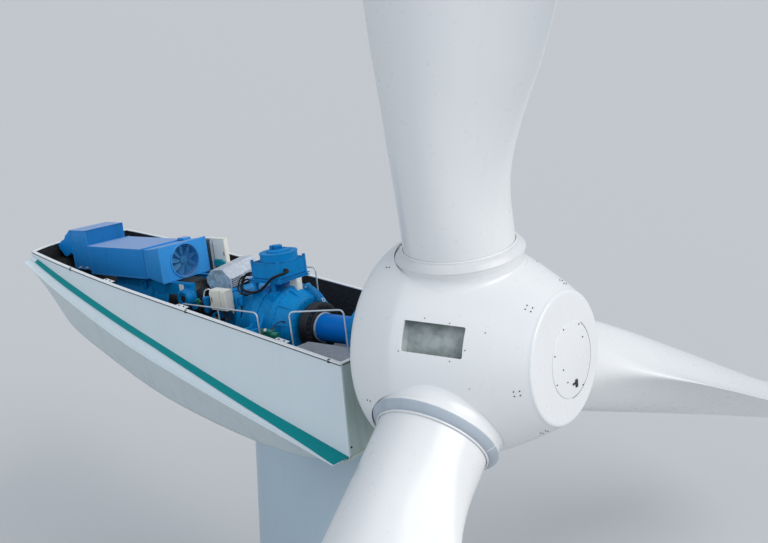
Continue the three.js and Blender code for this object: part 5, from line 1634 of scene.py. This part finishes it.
def generator_duct():
    back, front, near, far, low, high = -11.46, -10.7403, -0.59, 0.48, 0.94, 1.92
    shape = Shape().box((back, near + 0.006, low), (front, far - 0.006, high - 0.006))
    for a0, a1 in ((back, back + 0.035), (front - 0.04, front)):
        shape.box((a0, near - 0.004, low), (a1, far + 0.004, high))
    for h0, h1 in ((low, low + 0.03), (high - 0.03, high + 0.002)):
        shape.box((back, near - 0.004, h0), (front, far + 0.004, h1))
    shape.box((back + 0.12, near - 0.001, low + 0.12), (front - 0.12, far + 0.001, high - 0.12))
    for a in (back + 0.018, front - 0.02):
        shape.bolt_row((a, near - 0.004, low + 0.08), (a, near - 0.004, high - 0.08), 9, (0, -1, 0), 0.018)
    shape.make("tall_duct", "sheet_blue", edge=0.005, nodes=["rear_duct"])
    # The black sheet where the tall duct meets the air cooler is a painted shadow in the gap between them.
    Shape().box((front - 0.001, -0.57, 0.96), (front + 0.004, 0.46, 1.5)).make("duct_gap_shadow", "black_rubber")
    fittings = Shape()
    for a in (-11.2, -10.9):
        fittings.lathe([(0.03, 0.0), (0.03, 0.03), (0.018, 0.035), (0.018, 0.07), (0, 0.075)],
            turn_to((0, -1, 0), (a, near, low + 0.05)), 16)
    fittings.make("duct_fittings", "galvanised_tube")


def generator_boot():
    """Folded fabric boot behind the tall duct."""
    start = -11.4603
    outline = [(0.0, 1.91), (-0.11, 1.9), (-0.35, 1.75), (-0.53, 1.64), (-0.72, 1.52), (-0.69, 1.42),
        (-0.56, 1.26), (-0.35, 1.2), (-0.18, 1.3), (0.0, 1.28)]
    line = spline(outline, 48)
    rings = []
    for j in range(33):
        y = -0.56 + 1.0 * j / 32
        ring = []
        tuck = 0.03 * (1 - min(1.0, j / 3, (32 - j) / 3))
        for i, point in enumerate(line):
            along = i / 48
            hold = sin(pi * along) ** 0.6
            fold = 0.035 * sin(24 * along + 2.2 * sin(3.1 * y + 1)) + 0.016 * sin(9 * y + 11 * along)
            inward = Vector((-0.2, 1.52)) - Vector(point[:2])
            moved = Vector(point[:2]) + inward.normalized() * (abs(fold) * hold + tuck * hold)
            ring.append((start + min(0.0, moved.x), y, moved.y))
        rings.append(ring)
    shape = Shape().rings(rings)
    shape.box((start - 0.03, -0.57, 1.885), (start, 0.46, 1.905))
    shape.make("duct_boot", "boot_fabric", nodes=["rear_hood"], angle=60)


class BuildGenerator(bpy.types.Operator):
    """Generator with its base, air cooler, fan box, fan, tall duct and boot"""
    bl_idname = "nacelle.generator"
    bl_label = "Generator"

    def execute(self, context):
        generator_body()
        generator_air_cooler()
        generator_fan_box()
        generator_fan()
        generator_duct()
        generator_boot()
        return {"FINISHED"}


# Guards and cabinets

def coupling_guard():
    """Eight-sided sheet hood that rises to the far side, with bands, louvres and a post."""
    section = [(-6.86, 0.76), (-6.86, 0.87), (-6.68, 1.04), (-6.3, 1.08), (-6.07, 0.89), (-6.08, 0.66),
        (-6.3, 0.6), (-6.74, 0.6)]

    middle_a, middle_h, near, rise = -6.465, 0.84, -0.16, 0.132

    def ring(y, grow=0.0):
        lift, gain = (y - near) * rise, 1 + grow
        return [(middle_a + (a - middle_a) * gain, y, middle_h + (h - middle_h) * gain + lift)
            for a, h in section]

    shape = Shape().rings([ring(-0.155), ring(0.735)])
    for y in (-0.16, 0.13, 0.42, 0.71):
        shape.rings([ring(y, 0.018), ring(y + 0.03, 0.018)])
    shape.box((-6.48, 0.7, -0.6397), (-6.3, 0.76, 0.78))
    shape.make("coupling_hood", "guard_sheet", edge=0.003, nodes=["coupling_guard"])
    end = Shape().rings([ring(-0.164, -0.03), ring(-0.15, -0.03)])
    for (a0, h0), (a1, h1) in zip(section, section[1:]):
        spot = (middle_a + (a0 + a1 - 2 * middle_a) * 0.47, near - 0.004,
            middle_h + (h0 + h1 - 2 * middle_h) * 0.47)
        end.bolt(turn_to((0, -1, 0), spot), 0.02)
    end.make("coupling_hood_end", "polished_sheet")
    slots = Shape()
    louvres = Shape()
    for i in range(5):
        low = 0.674 + 0.043 * i
        for shape, outline in ((slots, ((-6.077, 0.0), (-6.07, 0.0), (-6.062, 0.02), (-6.077, 0.02))),
                (louvres, ((-6.074, 0.02), (-6.04, 0.024), (-6.036, 0.03), (-6.07, 0.043)))):
            shape.rings([[(a, y, low + h + rise * (y - near)) for a, h in outline] for y in (-0.11, 0.2)])
    slots.make("louvre_shadow", "black_steel")
    louvres.make("louvre_blades", "guard_sheet")


def control_cabinet():
    """Thin cabinet: a narrow bay with a conduit beside a white door over a plinth; the bay's back and the
    plinth are dark grey sheets of painted shade.
    """
    back, front, near, far, foot, top = -8.25, -7.32, 0.83, 0.94, -0.2597, 1.53
    bay, door, plinth = -7.99, -7.73, 0.87
    shape = Shape().box((back, near + 0.02, plinth), (front, far, top - 0.015))
    shape.box((back - 0.004, near + 0.004, top - 0.02), (front + 0.004, far + 0.004, top))
    for a0, a1 in ((back + 0.008, bay), (door, front - 0.006)):
        shape.box((a0, near, plinth + 0.01), (a1, near + 0.02, top - 0.03))
        for h in (1.0, 1.4):
            shape.rod(0.01, -0.03, 0.03, at((a0 + 0.02, near - 0.003, h)), 12)
    shape.make("cabinet_doors", "cabinet_white", edge=0.004, nodes=["control_cabinet"])
    # Dark grey sheets at the back of the bay and under the doors are painted shade for the recess and the
    # open lower part; the latches and the blocks in the bay are parts.
    dark = Shape().box((bay + 0.002, near + 0.012, plinth), (door - 0.002, near + 0.019, top - 0.04))
    dark.box((back + 0.01, near + 0.01, foot), (front - 0.01, far - 0.01, plinth))
    for a in (back + 0.02, front - 0.06):
        dark.box((a, near - 0.01, 1.12), (a + 0.022, near, 1.22))
    for i in range(4):
        dark.box((bay + 0.03, near - 0.004, 0.95 + 0.14 * i), (bay + 0.09, near + 0.012, 1.05 + 0.14 * i))
    dark.make("cabinet_shade_sheets_and_latches", "frame_grey", edge=0.002)
    pipe = Shape()
    for shift, r in ((0.07, 0.016), (0.025, 0.009)):
        pipe.tube(bent([(door - shift, near - 0.012, plinth - 0.1), (door - shift, near - 0.012, 1.45),
            (door - shift, near + 0.06, 1.56)], 0.04), r, 10)
    pipe.make("cabinet_conduit", "trim_white")
    block = Shape().box((door, near - 0.05, 0.88), (front - 0.02, near - 0.0005, 1.0))
    block.box((door + 0.05, near - 0.06, 0.97), (front - 0.12, near - 0.0005, 1.04))
    block.make("cabinet_lamp", "fitting_teal", edge=0.006)


def junction_box():
    back, front, near, far, low, high = -5.98, -5.49, -0.84, -0.6203, 0.39, 0.82
    shape = Shape().box((back, near + 0.02, low), (front, far, high))
    shape.box((back - 0.006, near + 0.015, high - 0.012), (front + 0.006, far, high + 0.006))
    for a0, a1 in ((back + 0.008, -5.668), (-5.654, front - 0.008)):
        shape.box((a0, near, low + 0.01), (a1, near + 0.02, high - 0.016))
    for h in (0.47, 0.73):
        shape.rod(0.01, -0.03, 0.03, at((back + 0.012, near - 0.002, h)), 10)
    for a in (back + 0.03, front - 0.07):
        shape.box((a, far - 0.02, low - 0.1), (a + 0.04, far, low))
    shape.make("terminal_box", "cabinet_white", edge=0.005, nodes=["junction_box"])
    conduit = Shape().tube(bent([(-6.0, -0.76, high - 0.03), (-6.07, -0.76, high), (-6.21, -0.76, 0.78),
        (-6.28, -0.76, 0.67), (-6.29, -0.74, 0.5)], 0.12), 0.014, 10)
    conduit.make("terminal_conduit", "trim_white")
    dark = Shape().box((-5.67, near + 0.012, low + 0.01), (-5.652, near + 0.019, high - 0.016))
    for a in (-5.9, -5.82, -5.74, -5.62):
        dark.lathe([(0.022, 0.0), (0.022, -0.02), (0.014, -0.03), (0.014, -0.05)], at((a, -0.73, low)), 12)
        dark.tube(bent([(a, -0.73, low - 0.04), (a, -0.73, low - 0.25), (a - 0.1, -0.7, low - 0.45),
            (-6.1, -0.68, -0.15)], 0.12), 0.011, 6)
    for k in range(3):
        dark.tube([(-5.56 + (0.07 + 0.02 * k) * cos(pi * i / 16), -0.72 - 0.02 * k, 0.3
            + (0.085 + 0.015 * k) * sin(pi * i / 16)) for i in range(32)], 0.01, 6, looped=True)
    dark.box((-5.93, near - 0.006, 0.56), (-5.91, near, 0.66))
    dark.make("terminal_cables", "black_rubber")


def grease_pump():
    there = DRIVE @ at((0, -1.14, 0.14))
    shape = Shape(there).lathe([(0, -4.14), (0.09, -4.14), (0.11, -4.13), (0.115, -4.12), (0.115, -4.1),
        (0.1, -4.095), (0.1, -4.02), (0.12, -4.015), (0.12, -3.99), (0, -3.99)], ALONG, 48)
    for i in range(24):
        shape.box((-4.09, -0.003, 0.095), (-4.02, 0.003, 0.117), turned(i, 24))
    shape.box((-4.05, -0.09, -0.2397), (-3.81, 0.09, -0.2))
    shape.box((-4.03, -0.075, -0.21), (-3.83, 0.075, 0.09))
    shape.lathe([(0, -3.85), (0.07, -3.85), (0.07, -3.73), (0.06, -3.69), (0, -3.69)], ALONG, 36)
    shape.bolt_ring(0.1, -3.99, 8, ALONG, 0.02)
    shape.bolt_row((-4.0, -0.07, -0.2), (-3.86, -0.07, -0.2), 2, (0, 0, 1), 0.024)
    shape.make("grease_pump", "pump_green", edge=0.005, nodes=["lube_pump"])
    gauge = Shape(there).lathe([(0.03, 0.0), (0.032, 0.02), (0.028, 0.025), (0, 0.022)],
        turn_to((0.3, -0.8, 0.4), (-3.93, -0.08, 0.12)), 24)
    gauge.make("pump_gauge", "galvanised_tube")


class BuildCabinets(bpy.types.Operator):
    """Coupling guard, control cabinet, junction box and grease pump"""
    bl_idname = "nacelle.cabinets"
    bl_label = "Guards and cabinets"

    def execute(self, context):
        coupling_guard()
        control_cabinet()
        junction_box()
        grease_pump()
        return {"FINISHED"}


def bar_grating(node):
    low, high = extent(node)
    shape = Shape()
    bar, top = 0.005, high.z
    for y in (low.y, high.y - bar):
        shape.box((low.x, y, low.z), (high.x, y + bar, top))
    for a in (low.x, high.x - bar):
        shape.box((a, low.y, low.z), (a + bar, high.y, top))
    count = max(3, round((high.y - low.y) / 0.034))
    for i in range(1, count):
        y = low.y + (high.y - low.y) * i / count
        shape.box((low.x + bar, y - 0.002, low.z + 0.006), (high.x - bar, y + 0.002, top - 0.001))
    count = max(3, round((high.x - low.x) / 0.05))
    for i in range(1, count):
        a = low.x + (high.x - low.x) * i / count
        shape.box((a - 0.003, low.y + bar, top - 0.008), (a + 0.003, high.y - bar, top))
    shape.make(f"bars_{node}", "galvanised_grating", nodes=[node], weld=False)


def tubular_rail(node, corners, post, r):
    shape = Shape().tube(bent(corners, 0.11, 6), r, 16)
    feet = [corners[0], corners[-1]]
    if post:
        a, y, low, high = post
        shape.rod(r * 0.9, low, high, at((a, y, 0)), 16)
        feet.append((a, y, low))
    for a, y, h in feet:
        spot = at((a, y, h))
        shape.lathe([(0.05, 0.0), (0.05, 0.008), (0.026, 0.01), (0.024, 0.035), (r, 0.04)], spot, 24)
        shape.bolt_ring(0.038, 0.008, 3, spot, 0.012)
    shape.make(f"tube_{node}", "galvanised_tube", nodes=[node])


class BuildWalkways(bpy.types.Operator):
    """Bar gratings and tubular rails"""
    bl_idname = "nacelle.walkways"
    bl_label = "Walkways"

    def execute(self, context):
        for place in ("rear", "front", "far", "far_rear"):
            bar_grating(f"grating_{place}")
        rail = sizes().rail
        tubular_rail("rail_rear", [(-6.35, -1.3, -0.0997), (-6.35, -1.3, 0.62), (-4.02, -1.3, 0.62),
            (-4.02, -1.3, -0.0997)], (-5.185, -1.3, -0.0997, 0.61), rail)
        tubular_rail("rail_far", [(-6.33, 1.4, -0.2997), (-6.33, 1.4, 0.83), (-5.02, 1.4, 0.83),
            (-5.02, 1.4, -0.2997)], (-5.675, 1.4, -0.2997, 0.82), rail)
        tubular_rail("rail_front", [(-3.12, -1.3, -0.0997), (-3.12, -1.3, 0.715), (-2.15, -0.85, 0.715),
            (-2.15, -0.85, -0.0997)], None, rail)
        return {"FINISHED"}


class BuildFrames(bpy.types.Operator):
    """Finish and bolts of the main frame and the generator's frame"""
    bl_idname = "nacelle.frames"
    bl_label = "Frames"

    def execute(self, context):
        dress("frame_grey", "main_frame", "generator_frame")
        bolts = Shape()
        for side in (-1, 1):
            for offset in (-0.09, 0.09):
                bolts.bolt_row((-6.4, side * 0.75 + offset, -0.64), (-2.6, side * 0.75 + offset, -0.64), 26,
                    (0, 0, 1), 0.04)
        bolts.make("frame_bolts", "bolt_steel")
        trays = Shape()
        for i in range(7):
            y = 1.02 + 0.035 * (i % 4)
            h = -0.5 + 0.035 * (i // 4)
            trays.tube(bent([(-9.8, y - 0.05, h + 0.2), (-8.4, y, h + 0.1), (-6.8, y, h),
                (-2.2, y - 0.1, h)], 0.3), 0.014, 6)
        trays.make("floor_cables", "black_rubber")
        return {"FINISHED"}


# Studio

def stage_light(name, strength, angle, source, tint):
    lamp = bpy.data.lights.new(f"{name}_light", "SUN")
    lamp.energy = strength
    lamp.color = tint
    lamp.angle = radians(angle)
    holder = placed(f"{name}_light", lamp)
    holder.rotation_mode = "QUATERNION"
    holder.rotation_quaternion = Vector(source).to_track_quat("Z", "Y")
    holder.location = Vector(source) * 30


def stage_camera():
    lens = bpy.data.cameras.new("camera")
    lens.lens = CAMERA["lens"]
    lens.sensor_width = CAMERA["sensor"]
    lens.clip_end = 6000
    lens.clip_start = 0.5
    holder = placed("camera", lens)
    az, pitch, roll = CAMERA["azimuth"], CAMERA["pitch"], CAMERA["roll"]
    look = Matrix.Rotation(az, 4, "Z") @ Matrix.Rotation(pi / 2 - pitch, 4, "X")
    look = look @ Matrix.Rotation(roll, 4, "Z")
    holder.matrix_world = at(CAMERA["place"]) @ look
    bpy.context.scene.camera = holder


class BuildStage(bpy.types.Operator):
    """Pale floor, soft light and the camera"""
    bl_idname = "nacelle.stage"
    bl_label = "Stage"

    def execute(self, context):
        size = sizes()
        floor = Shape(WORLD).lathe([(size.floor, -0.06), (size.floor, -0.02)], segments=96)
        plane = placed("studio_floor", floor.mesh("studio_floor"))
        tree, surface, _ = shader("studio_floor", 0.0, Roughness=0.8)
        cloud = wire(tree, "TexNoise", in_Scale=0.05, in_Detail=2.0).outputs[0]
        tint = full(colours().floor)
        feed(tree, surface["Base Color"], blend_colour(tree, cloud, tint, full(tint, 0.97)))
        plane.data.materials.append(MADE["studio_floor"])
        stage_light("key", size.key_light, 50, (0.78, 0.12, 0.66), (1.0, 0.975, 0.94))
        stage_light("fill", size.fill_light, 80, (0.12, -0.95, 0.4), (0.86, 0.93, 1.0))
        stage_light("back", size.fill_light * 0.3, 80, (-0.3, 1.0, 0.7), (0.9, 0.95, 1.0))
        world = bpy.data.worlds.new("studio")
        context.scene.world = world
        world.use_nodes = True
        sky = world.node_tree.nodes["Background"]
        sky.inputs["Color"].default_value = (0.8, 0.89, 1.0, 1)
        sky.inputs["Strength"].default_value = size.sky_light
        context.scene.view_settings.view_transform = "Standard"
        stage_camera()
        return {"FINISHED"}


STEPS = [
    BuildStage, BuildTower, BuildHull, BuildRim, BuildFrames, BuildWalkways, BuildShaft, BuildGearbox,
    BuildOilCooler, BuildGenerator, BuildCabinets, BuildSpinner, BuildBlades,
]


class NacellePanel(bpy.types.Panel):
    """Lists the pieces and their settings"""
    bl_idname = "VIEW3D_PT_nacelle"
    bl_label = "Nacelle"
    bl_space_type = "VIEW_3D"
    bl_region_type = "UI"
    bl_category = "Nacelle"

    def draw(self, context):
        for settings in (context.scene.nacelle_sizes, context.scene.nacelle_colours):
            for name in settings.__annotations__:
                self.layout.prop(settings, name)
        for step in STEPS:
            self.layout.operator(step.bl_idname)


CLASSES = [NacelleSizes, NacelleColours, *STEPS, NacellePanel]


def register():
    for item in CLASSES:
        bpy.utils.register_class(item)
    bpy.types.Scene.nacelle_sizes = PointerProperty(type=NacelleSizes)
    bpy.types.Scene.nacelle_colours = PointerProperty(type=NacelleColours)


def unregister():
    del bpy.types.Scene.nacelle_colours
    del bpy.types.Scene.nacelle_sizes
    for item in reversed(CLASSES):
        bpy.utils.unregister_class(item)


def main():
    register()
    make_materials()
    for step in STEPS:
        group, name = step.bl_idname.split(".")
        getattr(getattr(bpy.ops, group), name)()
    bpy.context.view_layer.update()


if __name__ == "__main__":
    main()
